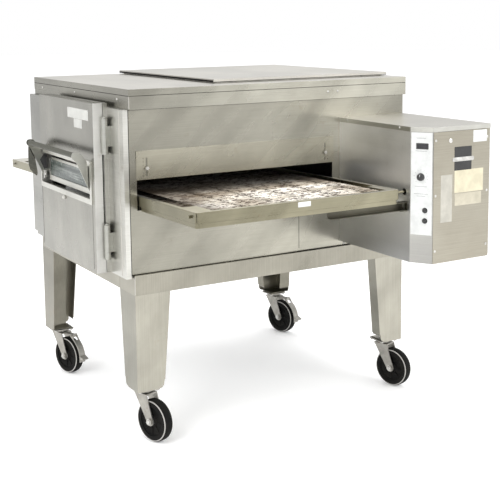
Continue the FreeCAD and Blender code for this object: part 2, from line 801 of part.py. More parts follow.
def make_window_trim():
    """A thin frame round the window on the door's face."""
    y = (DOOR_Y[0] - 3, DOOR_Y[0])
    x = (WINDOW_X[0] - 9, WINDOW_X[1] + 18)
    body = prism("XZ", y, rectangle(x, grow(WINDOW_Z, 19)))
    rounded(body, "y", 8)
    pocket(body, "XZ", grow(y, 1), rectangle(WINDOW_X, WINDOW_Z))
    piece("window_trim", body)


SASH_X = grow(WINDOW_X, -30)
SASH_Y = (size("FlapAxisY") + 7, size("FlapAxisY") + 17)
SASH_Z = (WINDOW_Z[0] + 9, WINDOW_Z[1] - 16)
PANE_X = grow(SASH_X, -9)
PANE_Z = (SASH_Z[0] + 20, SASH_Z[1] - 10)
GROOVE = 5


def make_window_sash():
    """The frame of the drop-down window, grooved for its pane."""
    middle = (SASH_Y[0] + 3, SASH_Y[0] + 7.5)
    sash = cut(block(SASH_X, SASH_Y, SASH_Z),
               block(PANE_X, grow(SASH_Y, 1), PANE_Z),
               block(grow(PANE_X, GROOVE), middle, grow(PANE_Z, GROOVE)))
    piece("window_sash", sash)
    pane_y = (SASH_Y[0] + 3.25, SASH_Y[0] + 7.25)
    piece("window_glass", block(grow(PANE_X, GROOVE - 0.5), pane_y, grow(PANE_Z, GROOVE - 0.5)))


def make_handle():
    """Two bent gussets that carry the grip, turn on stub pins and hold the sash."""
    axis_y, axis_z = size("FlapAxisY"), size("FlapAxisZ")
    grip_y, grip_z = size("GripY"), size("GripZ")
    sash_top = SASH_Z[1]
    outline = [
        (axis_y - 3, axis_z - 12), (axis_y + 7, axis_z - 11), (axis_y + 12, axis_z - 4),
        (SASH_Y[0], axis_z + 12), (SASH_Y[0], sash_top - 3),
        (axis_y - 14, sash_top + 11), (axis_y - 21, sash_top + 36),
        (axis_y - 46, sash_top + 66), (grip_y + 4, grip_z + 12),
        (grip_y - 7, grip_z + 10), (grip_y - 12, grip_z), (grip_y - 9, grip_z - 9),
        (axis_y - 57, sash_top + 30), (axis_y - 48, sash_top + 10), (axis_y - 12, axis_z - 2)]
    gussets = []
    for wall, inward in ((WINDOW_X[0], 1), (WINDOW_X[1], -1)):
        near, far = wall + 6 * inward, wall + 9 * inward
        tab_end = wall + 44 * inward
        plate_span = (near, far) if inward == 1 else (far, near)
        tab_span = (near, tab_end) if inward == 1 else (tab_end, near)
        stub_span = (wall - 4 * inward, near + 1 * inward)
        stub_span = stub_span if inward == 1 else stub_span[::-1]
        washer_span = (wall + 0.5 * inward, near)
        washer_span = washer_span if inward == 1 else washer_span[::-1]
        plate = prism("YZ", plate_span, outline)
        tab = block(tab_span, (SASH_Y[0] - 3, SASH_Y[0]), (axis_z + 14, sash_top - 8))
        stub = rod("x", (axis_y, axis_z), stub_span, 4)
        washer = rod("x", (axis_y, axis_z), washer_span, 8)
        head = rod("x", (axis_y, axis_z), (far, far + 3) if inward == 1 else (far - 3, far), 6)
        gussets.append(fuse(plate, tab, stub, washer, head))
    piece("handle_gussets", group(*gussets))
    grip_x = (WINDOW_X[0] + 9, WINDOW_X[1] - 9)
    body = prism("YZ", grip_x, circles=[(grip_y, grip_z, size("GripRadius"))])
    piece("handle_grip", body)


def make_bumper():
    """A domed stop on the door below the window."""
    body = lathe([(0, 0), (7, 0), (7, 4), (5.2, 7.2), (3, 9), (0, 9.6)])
    seat(body, 16, DOOR_Y[0], 829, Rotation(Vector(1, 0, 0), 90))
    piece("door_bumper", body)


def make_door_ear():
    """A curved ear that hangs beside the left end of the grip, on a root behind the gusset."""
    face = DOOR_Y[0] - 3
    x = (WINDOW_X[0] - 5.5, WINDOW_X[0] - 4)
    outline = [(face, 986), (face - 38, 1002), (face - 49, 1008), (face - 51, 990), (face - 52, 945),
               (face - 51, 925), (face - 45, 907), (face - 33, 892), (face - 21, 882), (face - 17, 886),
               (face - 16, 898), (face - 20, 924), (face - 24, 950), (face - 18, 962), (face, 958)]
    piece("door_ear", prism("YZ", x, outline))


# ---- conveyor --------------------------------------------------------------

def tilt(thing):
    """Lean an object about the drive shaft's axis, with its left end down."""
    angle = math.radians(CONVEYOR_TILT)
    lift = 1 - math.cos(angle)
    x = DRIVE_X * lift + SHAFT_Z * math.sin(angle)
    z = SHAFT_Z * lift - DRIVE_X * math.sin(angle)
    return seat(thing, x, 0, z, Rotation(Vector(0, 1, 0), -CONVEYOR_TILT))


def make_conveyor_frame():
    """A ring of C-channel with rounded corners, wide end flanges and side plates."""
    flange = size("RailFlange")
    body = prism("XY", CONVEYOR_Z, rectangle(CONVEYOR_X, CONVEYOR_Y))
    rounded(body, "z", 9)
    inner_x = grow(CONVEYOR_X, -size("EndFlange"))
    inner_y = grow(CONVEYOR_Y, -flange)
    hollow = block(grow(CONVEYOR_X, -THICK), grow(CONVEYOR_Y, -THICK), grow(CONVEYOR_Z, -THICK))
    side_plates = []
    for y in ((CONVEYOR_Y[0] + 1, BELT_Y[0] - 4), (BELT_Y[1] + 4, CONVEYOR_Y[1] - 1)):
        for x in ((inner_x[0] - 2, inner_x[0] + 107), (inner_x[1] - 107, inner_x[1] + 2)):
            side_plates.append(block(x, y, (CONVEYOR_Z[1] - THICK, CONVEYOR_Z[1])))
    ring = cut(body, hollow, block(inner_x, inner_y, grow(CONVEYOR_Z, 5)))
    bores = []
    for x in (DRIVE_X, IDLER_X):
        bore = size("ShaftRadius") + size("RunningClearance")
        bores.append(rod("y", (x, SHAFT_Z), grow(CONVEYOR_Y, 5), bore))
    piece("conveyor_frame", tilt(cut(fuse(ring, *side_plates), *bores)))


def make_cross_rods():
    """Rods across the frame under the top run of the belt."""
    y = grow(CONVEYOR_Y, -THICK)
    rods = []
    for offset in (201, 469, 737):
        for x in (CENTRE_X - offset, CENTRE_X + offset):
            rods.append(rod("y", (x, SHAFT_Z), y, 4))
    piece("cross_rods", tilt(group(*rods)))


def make_belt():
    """The wire belt as a closed loop round both shafts."""
    outer = size("BeltRadius")
    loops = []
    for radius, margin in ((outer, 0), (outer - size("BeltThick"), 1)):
        span = grow(BELT_Y, margin)
        slab = block((IDLER_X, DRIVE_X), span, (SHAFT_Z - radius, SHAFT_Z + radius))
        ends = [rod("y", (x, SHAFT_Z), span, radius) for x in (IDLER_X, DRIVE_X)]
        loops.append(fuse(slab, *ends))
    piece("conveyor_belt", tilt(cut(*loops)))


def make_shaft(node, x, y):
    """A shaft with a row of belt sprockets."""
    parts = [rod("y", (x, SHAFT_Z), y, size("ShaftRadius"))]
    for step in range(5):
        centre = BELT_Y[0] + 24 + step * (size("BeltWidth") - 48) / 4
        parts.append(rod("y", (x, SHAFT_Z), (centre - 5, centre + 5), 9.2))
    for centre in (BELT_Y[0] - 14, BELT_Y[1] + 14):
        parts.append(rod("y", (x, SHAFT_Z), (centre - 4, centre + 4), 9))
    piece(node, tilt(fuse(*parts)))


def make_crumb_pan():
    """A shallow tray that slides out under the right end of the conveyor."""
    x = (CONVEYOR_X[1] - 4 - size("CrumbPanLength"), CONVEYOR_X[1] - 4)
    y = grow(CONVEYOR_Y, -3)
    z = (CONVEYOR_Z[0] - 1 - size("CrumbPanDepth"), CONVEYOR_Z[0] - 1)
    wall = 1.5
    body = prism("XY", z, rectangle(x, y))
    rounded(body, "z", 12)
    pocket(body, "XY", (z[0] + wall, z[1] + 1), rectangle(grow(x, -12), grow(y, -wall)))
    pocket(body, "XY", (z[0] + wall, z[1] + 1), rectangle(grow(x, -wall), grow(y, -12)))
    piece("crumb_pan", tilt(body))


def sill_tubes():
    """Two tubes that carry the conveyor on the sills of the end openings."""
    height = (CONVEYOR_Z[0] - size("SupportTubeHeight"), CONVEYOR_Z[0])
    tubes = []
    for low in (CONVEYOR_Y[0] + 2, CONVEYOR_Y[1] - 22):
        span = (low, low + 20)
        tubes.append(tilt(cut(block(BODY_X, span, height),
                              block(grow(BODY_X, 1), grow(span, -THICK), grow(height, -THICK)))))
    return tubes


def pan_channel():
    """A channel on the control box that runs under the crumb pan, with a hooked end."""
    x = (size("ChannelLeftX"), size("ChannelLeftX") + size("ChannelWidth"))
    y = (size("ChannelFrontY"), CONTROL_Y[0])
    z = (size("ChannelBottom"), size("ChannelTop"))
    channel = cut(block(x, y, z), block((x[0] + THICK, x[1] + 1), grow(y, 1), grow(z, -THICK)))
    hook_x = (x[1] - 10, x[1] + 4)
    hook_y = (CONTROL_Y[0] - 32, CONTROL_Y[0] - 4)
    hook = cut(block(hook_x, hook_y, (z[0] - 2, z[1] - 3)),
               block(grow(hook_x, 1), (hook_y[0] - 1, hook_y[1] - THICK), (z[0] + 1, z[1])))
    return fuse(channel, hook)


# ---- air system ------------------------------------------------------------

def air_finger(x, y, z, toward):
    """A hollow duct, open at the plenum end, with slots on the belt's side."""
    face = (z[1] - 3, z[1] + 1) if toward > 0 else (z[0] - 1, z[0] + 3)
    slots = []
    for step in range(6):
        low = y[0] + 50 + step * 130
        slots.append(block(grow(x, -25), (low, low + 8), face))
    return cut(block(x, y, z), block(grow(x, -1.5), (y[0] + 1.5, y[1] + 1), grow(z, -1.5)), *slots)


def make_air_system():
    """Air fingers on a plenum, with the heater inside it and the blower behind."""
    half, pitch = size("PlenumHalf"), size("FingerPitch")
    plenum_x = (CENTRE_X - half, CENTRE_X + half)
    plenum_y = (size("PlenumFront"), size("PlenumRear"))
    plenum_z = (size("PlenumBottom"), size("PlenumTop"))
    fingers = []
    ports = []
    for z, toward in (((960, 1000), -1), ((750, 790), 1)):
        for step in range(4):
            left = CENTRE_X - half + 20 + pitch * step
            x = (left, left + size("FingerWidth"))
            fingers.append(air_finger(x, (size("ChamberFront") + 30, plenum_y[0]), z, toward))
            ports.append(block(grow(x, -4), (plenum_y[0] - 1, plenum_y[0] + 3), grow(z, -4)))
    piece("air_fingers", group(*fingers))
    duct = cut(block(plenum_x, plenum_y, plenum_z),
               block(grow(plenum_x, -THICK), (plenum_y[0] + 2, plenum_y[1] - 2), grow(plenum_z, -THICK)),
               rod("y", (CENTRE_X, size("BlowerZ")), (plenum_y[1] - 3, plenum_y[1] + 1), 80), *ports)
    piece("plenum", duct)
    wheel = lathe([(0, -120), (10, -120), (10, 0), (28, 0), (28, 6), (112, 6), (112, 52),
                   (98, 52), (98, 10), (24, 10), (24, 30), (0, 30)])
    seat(wheel, CENTRE_X, 530, size("BlowerZ"), Rotation(Vector(1, 0, 0), 90))
    piece("blower_wheel", wheel)
    axis = (CENTRE_X, size("BlowerZ"))
    back = BODY_Y[1]
    flange = rod("y", axis, (back, back + 14), 95)
    housing = rod("y", axis, (back + 12, back + 97), 78)
    junction = block((CENTRE_X - 35, CENTRE_X + 35), (back + 25, back + 85), (960, 1005))
    bore = rod("y", axis, (back - 1, back + 39), 10 + size("RunningClearance"))
    piece("blower_motor", cut(fuse(flange, housing, junction), bore))
    bars = [rod("z", (CENTRE_X - 300 + step * 150, 411), (760, 1035), 5) for step in range(5)]
    mount = block((CENTRE_X - 320, CENTRE_X + 320), (401, 421), (1030, plenum_z[1] - THICK))
    piece("heating_element", fuse(mount, *bars))


# ---- control box -----------------------------------------------------------

def control_outline(x, y, by=0):
    """The plan of the box with its chamfered front corner, offset inward."""
    run, rise = size("ChamferRun"), size("ChamferRise")
    slant = 0.35 * by
    return [(x[0] + by, y[0] + by), (x[1] - run - slant, y[0] + by),
            (x[1] - by, y[0] + rise + slant), (x[1] - by, y[1] - by), (x[0] + by, y[1] - by)]


def chamfer_place(along, out=0):
    """A point on the chamfered face, along it and out from it."""
    angle = math.radians(CHAMFER_ANGLE)
    x = CONTROL_X[1] - size("ChamferRun") + along * math.cos(angle) + out * math.sin(angle)
    y = CONTROL_Y[0] + along * math.sin(angle) - out * math.cos(angle)
    return x, y


FACE_OUT = Rotation(Vector(0, 0, 1), CHAMFER_ANGLE) * Rotation(Vector(1, 0, 0), 90)

OVERLAY_BOTTOM = 730
OVERLAY_INSET = 3
OVERLAY_THICK = 1
# Centres of the knob and the buttons on the overlay, from its lower left corner.
KNOB = (36, 206)
BUTTONS = ((51, 88), (51, 51))
BUTTON_RADIUS = 7
# X, Z and radius of the power inlet in the rear wall.
INLET = (522, 670, 14)


def face_hole(along, up, radius):
    """A round cutter through the chamfered face, placed on the overlay."""
    hole = DOC.addObject("Part::Cylinder", "Hole")
    bind(hole, "Radius", radius)
    bind(hole, "Height", 6)
    x, y = chamfer_place(OVERLAY_INSET + along, -4)
    return seat(hole, x, y, OVERLAY_BOTTOM + up, FACE_OUT)


def make_control_box():
    """An open-topped shell, its side panel, cover and screws."""
    shell = new_body()
    z = (CONTROL_Z[0], CONTROL_Z[1] - 4)
    side = 2
    pad(shell, "XY", z, control_outline(CONTROL_X, CONTROL_Y))
    pocket(shell, "XY", (z[0] + 1.5, z[1] + 1), control_outline(CONTROL_X, CONTROL_Y, 1.5))
    pocket(shell, "XY", (z[0] + 14, z[1] + 1),
           [(CONTROL_X[1] - side, CONTROL_Y[0] + size("ChamferRise") + 14),
            (CONTROL_X[1] + 1, CONTROL_Y[0] + size("ChamferRise") + 14),
            (CONTROL_X[1] + 1, CONTROL_Y[1] - 14), (CONTROL_X[1] - side, CONTROL_Y[1] - 14)])
    pocket(shell, "XZ", (CONTROL_Y[0] - 1, CONTROL_Y[0] + 3), circles=[(DRIVE_X, SHAFT_Z, 12)])
    pocket(shell, "XZ", (CONTROL_Y[1] - 3, CONTROL_Y[1] + 1), circles=[INLET])
    holes = [face_hole(along, up, BUTTON_RADIUS + 0.4) for along, up in BUTTONS]
    piece("control_box", cut(shell, *holes))
    panel_y = (CONTROL_Y[0] + size("ChamferRise") + 1, CONTROL_Y[1])
    panel_x = (CONTROL_X[1], CONTROL_X[1] + 1.5)
    panel = prism("YZ", panel_x, rectangle(panel_y, (z[0], CONTROL_Z[1] - 17)))
    rounded(panel, "x", 10, lambda p: p.z < z[0].value + 1 and p.y > panel_y[1].value - 1)
    piece("control_side_panel", panel)
    cover = new_body()
    lip_z = (CONTROL_Z[1] - 16, CONTROL_Z[1])
    lap = 2
    wide_x, wide_y = (CONTROL_X[0], CONTROL_X[1] + lap), (CONTROL_Y[0] - lap, CONTROL_Y[1] + lap)
    pad(cover, "XY", lip_z, control_outline(wide_x, wide_y))
    open_x = (CONTROL_X[0] - lap, wide_x[1])
    pocket(cover, "XY", (lip_z[0] - 1, lip_z[1] - 1.5), control_outline(open_x, wide_y, 1.5))
    piece("control_top", cover)
    screws = []
    for z_at in (CONTROL_Z[0] + 46, CONTROL_Z[0] + 241, CONTROL_Z[0] + 436):
        for y_at in (panel_y[0] + 9, panel_y[1] - 12):
            head = lathe([(0, 0), (5, 0), (4.4, 1.3), (2.4, 2), (0, 2)])
            seat(head, panel_x[1], y_at, z_at, Rotation(Vector(0, 1, 0), 90))
            screws.append(head)
    piece("control_screws", group(*screws))


def make_controls():
    """The overlay plate on the chamfered corner with its knob and two buttons."""
    overlay = new_body()
    pad(overlay, "XZ", (-OVERLAY_THICK, 0), rectangle((0, 76), (0, 362)))
    holes = [(*button, BUTTON_RADIUS + 0.4) for button in BUTTONS]
    pocket(overlay, "XZ", (-OVERLAY_THICK - 1, 1), circles=holes)
    x, y = chamfer_place(OVERLAY_INSET)
    seat(overlay, x, y, OVERLAY_BOTTOM, Rotation(Vector(0, 0, 1), CHAMFER_ANGLE))
    piece("control_overlay", overlay)
    knob = lathe([(0, 0), (21, 0), (21, 1.2), (14, 2), (13, 4), (12.2, 15), (10, 16.5), (0, 16.5)])
    along, up = KNOB
    x, y = chamfer_place(OVERLAY_INSET + along, OVERLAY_THICK + 0.5)
    seat(knob, x, y, OVERLAY_BOTTOM + up, FACE_OUT)
    piece("main_knob", knob)
    for name, (along, up) in zip(("upper", "lower"), BUTTONS):
        radius = BUTTON_RADIUS
        button = lathe([(0, -1.2), (radius, -1.2), (radius, 8), (radius - 1, 9.4), (0, 9.8)])
        x, y = chamfer_place(OVERLAY_INSET + along, OVERLAY_THICK + 0.5)
        seat(button, x, y, OVERLAY_BOTTOM + up, FACE_OUT)
        piece(f"button_{name}", button)


def make_gear_motor():
    """The conveyor drive inside the control box."""
    y = (CONVEYOR_Y[1] + 90, CONVEYOR_Y[1] + 160)
    gearbox = block((DRIVE_X - 40, DRIVE_X + 40), y, (SHAFT_Z - 45, SHAFT_Z + 45))
    motor = rod("y", (DRIVE_X, SHAFT_Z), (y[1], y[1] + 120), 38)
    foot = block((DRIVE_X - 55, DRIVE_X + 55), y, (SHAFT_Z - 52, SHAFT_Z - 45))
    post = block((DRIVE_X - 50, DRIVE_X + 50), (y[0] + 5, y[0] + 12),
                 (CONTROL_Z[0] + 1.5, SHAFT_Z - 52))
    bore = rod("y", (DRIVE_X, SHAFT_Z), (y[0] - 1, y[1] - 20), size("ShaftRadius") + size("RunningClearance"))
    piece("gear_motor", cut(fuse(gearbox, motor, foot, post), bore))


def build():
    make_base_frame()
    for name, (x, y, toward_x, toward_y, turn) in CORNERS.items():
        make_leg(f"leg_{name}", x, y, turn)
    piece("caster_plates", group(*[caster_plate(corner) for corner in CORNERS]))
    for corner in CORNERS:
        make_fork(corner)
        make_wheel(corner)
    for corner in BRAKED:
        make_brake(corner)
    make_end_panel("right", (BODY_X[1] - THICK, BODY_X[1]), size("OpeningBottom"))
    make_end_panel("left", (BODY_X[0], BODY_X[0] + THICK), LEFT_SILL)
    make_rear_panel()
    make_front_frame()
    make_bottom_pan()
    make_chamber()
    make_top()
    make_eyebrow("right", (BODY_X[1] + 0.4, BODY_X[1] + 2.4))
    make_eyebrow("left", (BODY_X[0] - 2.4, BODY_X[0] - 0.4))
    make_eyebrow_screws()
    make_door_shell()
    make_door_liner()
    make_hinges()
    make_window_trim()
    make_window_sash()
    make_handle()
    make_bumper()
    make_door_ear()
    make_conveyor_frame()
    make_cross_rods()
    make_belt()
    make_shaft("drive_shaft", DRIVE_X, (CONVEYOR_Y[0] - 8, CONVEYOR_Y[1] + 130))
    make_shaft("idler_shaft", IDLER_X, grow(CONVEYOR_Y, 8))
    make_crumb_pan()
    piece("conveyor_supports", group(*sill_tubes(), pan_channel()))
    make_air_system()
    make_control_box()
    make_controls()
    make_gear_motor()


def export():
    """Check every object and write each sub-part."""
    DOC.recompute()
    for thing in DOC.Objects:
        if "Invalid" in thing.State or "Error" in thing.State:
            raise RuntimeError(f"{thing.Name} ({thing.Label}) is {thing.State}")
    os.makedirs("parts", exist_ok=True)
    for thing in PIECES:
        if thing.Shape.isNull() or not thing.Shape.isValid():
            raise RuntimeError(f"{thing.Label} has no valid shape")
        thing.Shape.exportStep(f"parts/{thing.Label}.step")
        box = thing.Shape.BoundBox
        print(f"{thing.Label:26s} solids {len(thing.Shape.Solids)}"
              f"  X {box.XMin:.1f}..{box.XMax:.1f}  Y {box.YMin:.1f}..{box.YMax:.1f}"
              f"  Z {box.ZMin:.1f}..{box.ZMax:.1f}")


build()
export()
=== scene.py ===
import json
import math

import bmesh
import bpy
from mathutils import Matrix, Vector


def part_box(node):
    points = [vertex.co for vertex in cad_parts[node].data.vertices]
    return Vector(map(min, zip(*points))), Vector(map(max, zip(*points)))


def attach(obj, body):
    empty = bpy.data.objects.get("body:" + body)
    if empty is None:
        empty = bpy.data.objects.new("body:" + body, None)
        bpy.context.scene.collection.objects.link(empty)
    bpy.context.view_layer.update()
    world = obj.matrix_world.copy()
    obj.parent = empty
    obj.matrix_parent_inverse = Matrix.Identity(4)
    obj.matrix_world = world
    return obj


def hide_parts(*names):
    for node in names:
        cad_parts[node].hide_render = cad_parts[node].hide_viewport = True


# Looks for the conveyor oven, in metres. Most places come from the CAD nodes' own boxes, and the
# few that are written out are in the part's own millimetres.

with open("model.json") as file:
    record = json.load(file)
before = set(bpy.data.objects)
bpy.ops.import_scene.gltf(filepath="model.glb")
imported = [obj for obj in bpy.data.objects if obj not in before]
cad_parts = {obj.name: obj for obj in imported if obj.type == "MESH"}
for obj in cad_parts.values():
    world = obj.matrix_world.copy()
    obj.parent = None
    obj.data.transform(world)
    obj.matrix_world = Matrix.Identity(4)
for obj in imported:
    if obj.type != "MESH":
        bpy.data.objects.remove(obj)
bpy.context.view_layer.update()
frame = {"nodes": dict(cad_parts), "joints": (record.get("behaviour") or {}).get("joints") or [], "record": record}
NODES = frame["nodes"]
CORNERS = ("front_left", "front_right", "rear_right", "rear_left")
MM = 0.001
# How far drawn lines stand proud of the sheet they lie on, in millimetres.
PROUD = 0.3
JOINTS = {joint["name"]: joint for joint in frame["joints"]}


# ---- node helpers ----------------------------------------------------------

def new_material(name):
    """A node material, with its tree and its Principled shader."""
    material = bpy.data.materials.new(name)
    material.use_nodes = True
    tree = material.node_tree
    shader = tree.nodes["Principled BSDF"]
    return material, tree, shader


def noise(tree, scale, stretch=(1, 1, 1), detail=3.0, rough=0.5, turn=(0, 0, 0)):
    """Noise in the object's own frame, with its three directions turned and stretched."""
    coords = tree.nodes.new("ShaderNodeTexCoord")
    mapping = tree.nodes.new("ShaderNodeMapping")
    mapping.vector_type = "TEXTURE"
    mapping.inputs["Scale"].default_value = [1 / s for s in stretch]
    mapping.inputs["Rotation"].default_value = turn
    texture = tree.nodes.new("ShaderNodeTexNoise")
    texture.inputs["Scale"].default_value = scale
    texture.inputs["Detail"].default_value = detail
    texture.inputs["Roughness"].default_value = rough
    tree.links.new(coords.outputs["Object"], mapping.inputs["Vector"])
    tree.links.new(mapping.outputs["Vector"], texture.inputs["Vector"])
    return texture.outputs["Fac"]


def ramp(tree, factor, stops):
    """A colour ramp through (position, colour) stops."""
    node = tree.nodes.new("ShaderNodeValToRGB")
    elements = node.color_ramp.elements
    while len(elements) < len(stops):
        elements.new(0.5)
    for element, (position, colour) in zip(elements, stops):
        element.position = position
        element.color = (*colour, 1)
    tree.links.new(factor, node.inputs["Fac"])
    return node.outputs["Color"]


def mix(tree, factor, first, second, mode="MIX"):
    """Two colours mixed by a socket or a number."""
    node = tree.nodes.new("ShaderNodeMix")
    node.data_type = "RGBA"
    node.blend_type = mode
    factor_socket, first_socket, second_socket = node.inputs[0], node.inputs[6], node.inputs[7]
    for value, socket in ((factor, factor_socket), (first, first_socket), (second, second_socket)):
        if isinstance(value, bpy.types.NodeSocket):
            tree.links.new(value, socket)
        elif isinstance(value, (int, float)):
            socket.default_value = value
        else:
            socket.default_value = (*value, 1)
    return node.outputs[2]


def spread(tree, value, low, high, start=0.3, stop=0.7):
    """A number mapped from the range start to stop into the range low to high."""
    node = tree.nodes.new("ShaderNodeMapRange")
    node.inputs["From Min"].default_value = start
    node.inputs["From Max"].default_value = stop
    node.inputs["To Min"].default_value = low
    node.inputs["To Max"].default_value = high
    tree.links.new(value, node.inputs["Value"])
    return node.outputs["Result"]


def bump(tree, shader, height, strength, distance, edge=0.0):
    """Surface relief, with the edges eased where an edge radius is given."""
    node = tree.nodes.new("ShaderNodeBump")
    node.inputs["Strength"].default_value = strength
    node.inputs["Distance"].default_value = distance
    tree.links.new(height, node.inputs["Height"])
    if edge:
        bevel = tree.nodes.new("ShaderNodeBevel")
        bevel.samples = 4
        bevel.inputs["Radius"].default_value = edge
        tree.links.new(bevel.outputs["Normal"], node.inputs["Normal"])
    tree.links.new(node.outputs["Normal"], shader.inputs["Normal"])


# ---- materials -------------------------------------------------------------

# Directions of the wipe marks on the end walls and on the door.
WALL_SLANT = (0.75, 0, 0)
DOOR_SLANT = (0, 1.3, 0)
# Fineness of the brushing along X, Y and Z. The lines run along the coarse directions.
LEVEL_GRAIN = (2, 2, 260)
RAIL_GRAIN = (2, 2, 300)
DOOR_GRAIN = (260, 2, 2)
TOP_GRAIN = (2, 200, 2)
BASE_GRAIN = (2, 160, 2)
LEG_GRAIN = (160, 160, 2)
NO_GRAIN = (3, 3, 3)
STAIN_BROWN = (0.2, 0.15, 0.09)
# Over these stretches, the belt is darkened up to the oven's opening as painted shade, and browned along its front
# edge.
MOUTH_SHADE_SPAN = (0.47, 0.56)
FRONT_EDGE_SPAN = (-0.46, -0.36)


def object_axes(tree):
    """The object's own X, Y and Z, which are the shared frame's at rest."""
    coords = tree.nodes.new("ShaderNodeTexCoord")
    axes = tree.nodes.new("ShaderNodeSeparateXYZ")
    tree.links.new(coords.outputs["Object"], axes.inputs["Vector"])
    return axes.outputs


def painted_shade_ramp(tree, colour, axis, start, stop, tones):
    """Painted shade: a colour darkened by evenly spaced tones along one axis of the shared frame, in metres."""
    along = spread(tree, object_axes(tree)[axis], 0, 1, start, stop)
    stops = [(i / (len(tones) - 1), (tone, tone, tone)) for i, tone in enumerate(tones)]
    return mix(tree, 1.0, colour, ramp(tree, along, stops), "MULTIPLY")


def brushed_steel(name, pale, dark, roughness=0.27, grain=LEVEL_GRAIN, stain=0.35, wipe=0.3,
                  slant=WALL_SLANT, shade_gradient=None):
    """Brushed sheet: fine grain, cloudy tarnish, slanting wipe marks and a few brown stains, with a painted shade
    gradient where one is given.
    """
    material, tree, shader = new_material(name)
    clouds = noise(tree, 2.2, (1, 1, 1.3), 5, 0.6)
    wipes = noise(tree, 2.4, (1, 0.6, 3), 3, 0.5, slant)
    lines = noise(tree, 3.0, grain, 2, 0.5)
    spots = noise(tree, 17, (1, 1, 1), 6, 0.65)
    base = ramp(tree, clouds, [(0.36, dark), (0.64, pale)])
    bright = tuple(min(1, c * 1.35) for c in pale)
    dull = tuple(c * 0.72 for c in dark)
    wiped = mix(tree, wipe, base, ramp(tree, wipes, [(0.3, dull), (0.52, pale), (0.7, bright)]))
    line_tones = ramp(tree, lines, [(0.3, (0.35, 0.34, 0.32)), (0.7, (0.85, 0.85, 0.83))])
    grained = mix(tree, 0.14, wiped, line_tones, "OVERLAY")
    brown = ramp(tree, spots, [(0.62, (0, 0, 0)), (0.78, (stain, stain, stain))])
    colour = mix(tree, brown, grained, STAIN_BROWN)
    # Painted shade: darken the colour along one axis where a gradient is given.
    if shade_gradient:
        colour = painted_shade_ramp(tree, colour, *shade_gradient)
    tree.links.new(colour, shader.inputs["Base Color"])
    shader.inputs["Metallic"].default_value = 1
    tree.links.new(spread(tree, wipes, roughness - 0.02, roughness + 0.04), shader.inputs["Roughness"])
    bump(tree, shader, lines, 0.04, 0.1 * MM, 1 * MM)
    return material


def plated(name, colour, roughness=0.3):
    """Zinc or nickel plate with dull patches and specks of rust."""
    material, tree, shader = new_material(name)
    patches = noise(tree, 40, (1, 1, 1), 4, 0.6)
    rust = noise(tree, 120, (1, 1, 1), 3, 0.6)
    dull = tuple(c * 0.62 for c in colour)
    base = ramp(tree, patches, [(0.3, dull), (0.68, colour)])
    specks = ramp(tree, rust, [(0.64, (0, 0, 0)), (0.74, (0.6, 0.6, 0.6))])
    tree.links.new(mix(tree, specks, base, (0.22, 0.12, 0.06)), shader.inputs["Base Color"])
    shader.inputs["Metallic"].default_value = 1
    tree.links.new(spread(tree, patches, roughness, roughness + 0.22), shader.inputs["Roughness"])
    bump(tree, shader, rust, 0.15, 0.2 * MM, 0.6 * MM)
    return material


def soot_and_shadow_steel():
    """Oven-side steel darkened by heat and baked-on crumbs, also laid on as painted shadow in gaps and under
    edges.
    """
    material, tree, shader = new_material("soot_and_shadow_steel")
    soot = noise(tree, 7, (1, 1, 1), 6, 0.6)
    crust = noise(tree, 60, (1, 1, 1), 5, 0.6)
    base = ramp(tree, soot, [(0.3, (0.002, 0.0018, 0.0016)), (0.75, (0.012, 0.01, 0.008))])
    tree.links.new(base, shader.inputs["Base Color"])
    shader.inputs["Specular IOR Level"].default_value = 0.15
    tree.links.new(spread(tree, crust, 0.6, 0.9), shader.inputs["Roughness"])
    bump(tree, shader, crust, 0.3, 0.6 * MM)
    return material


def rubber():
    """Hard black wheel rubber, dusty and scuffed."""
    material, tree, shader = new_material("wheel_rubber")
    dust = noise(tree, 30, (1, 1, 1), 5, 0.6)
    scuffs = noise(tree, 220, (1, 1, 1), 4, 0.6)
    base = ramp(tree, dust, [(0.35, (0.003, 0.003, 0.003)), (0.8, (0.016, 0.015, 0.013))])
    tree.links.new(base, shader.inputs["Base Color"])
    tree.links.new(spread(tree, dust, 0.6, 0.85), shader.inputs["Roughness"])
    shader.inputs["Specular IOR Level"].default_value = 0.12
    bump(tree, shader, scuffs, 0.25, 0.3 * MM)
    return material


def plastic(name, colour, roughness=0.42, grain=420):
    """Moulded plastic or cured paint with a fine pebble and slight wear."""
    material, tree, shader = new_material(name)
    pebble = noise(tree, grain, (1, 1, 1), 3, 0.5)
    wear = noise(tree, 26, (1, 1, 1), 4, 0.6)
    worn = tuple(min(1, c * 1.25 + 0.01) for c in colour)
    tree.links.new(ramp(tree, wear, [(0.35, colour), (0.75, worn)]), shader.inputs["Base Color"])
    tree.links.new(spread(tree, wear, roughness - 0.06, roughness + 0.1), shader.inputs["Roughness"])
    bump(tree, shader, pebble, 0.12, 0.15 * MM, 0.4 * MM)
    return material


def smoked_glass():
    """Grey-green heat-resistant glass with streaks of grease that run along it."""
    material, tree, shader = new_material("smoked_glass")
    streaks = noise(tree, 9, (0.35, 1, 7), 5, 0.6)
    film = noise(tree, 30, (1, 1, 1), 5, 0.6)
    tint = ramp(tree, streaks, [(0.36, (0.035, 0.05, 0.044)), (0.54, (0.08, 0.1, 0.09)),
                                (0.68, (0.3, 0.32, 0.3))])
    greased = ramp(tree, film, [(0.4, (0.6, 0.6, 0.6)), (0.7, (1, 1, 1))])
    tree.links.new(mix(tree, 1.0, tint, greased, "MULTIPLY"), shader.inputs["Base Color"])
    tree.links.new(spread(tree, film, 0.08, 0.3), shader.inputs["Roughness"])
    shader.inputs["IOR"].default_value = 1.5
    bump(tree, shader, film, 0.05, 0.2 * MM)
    return material


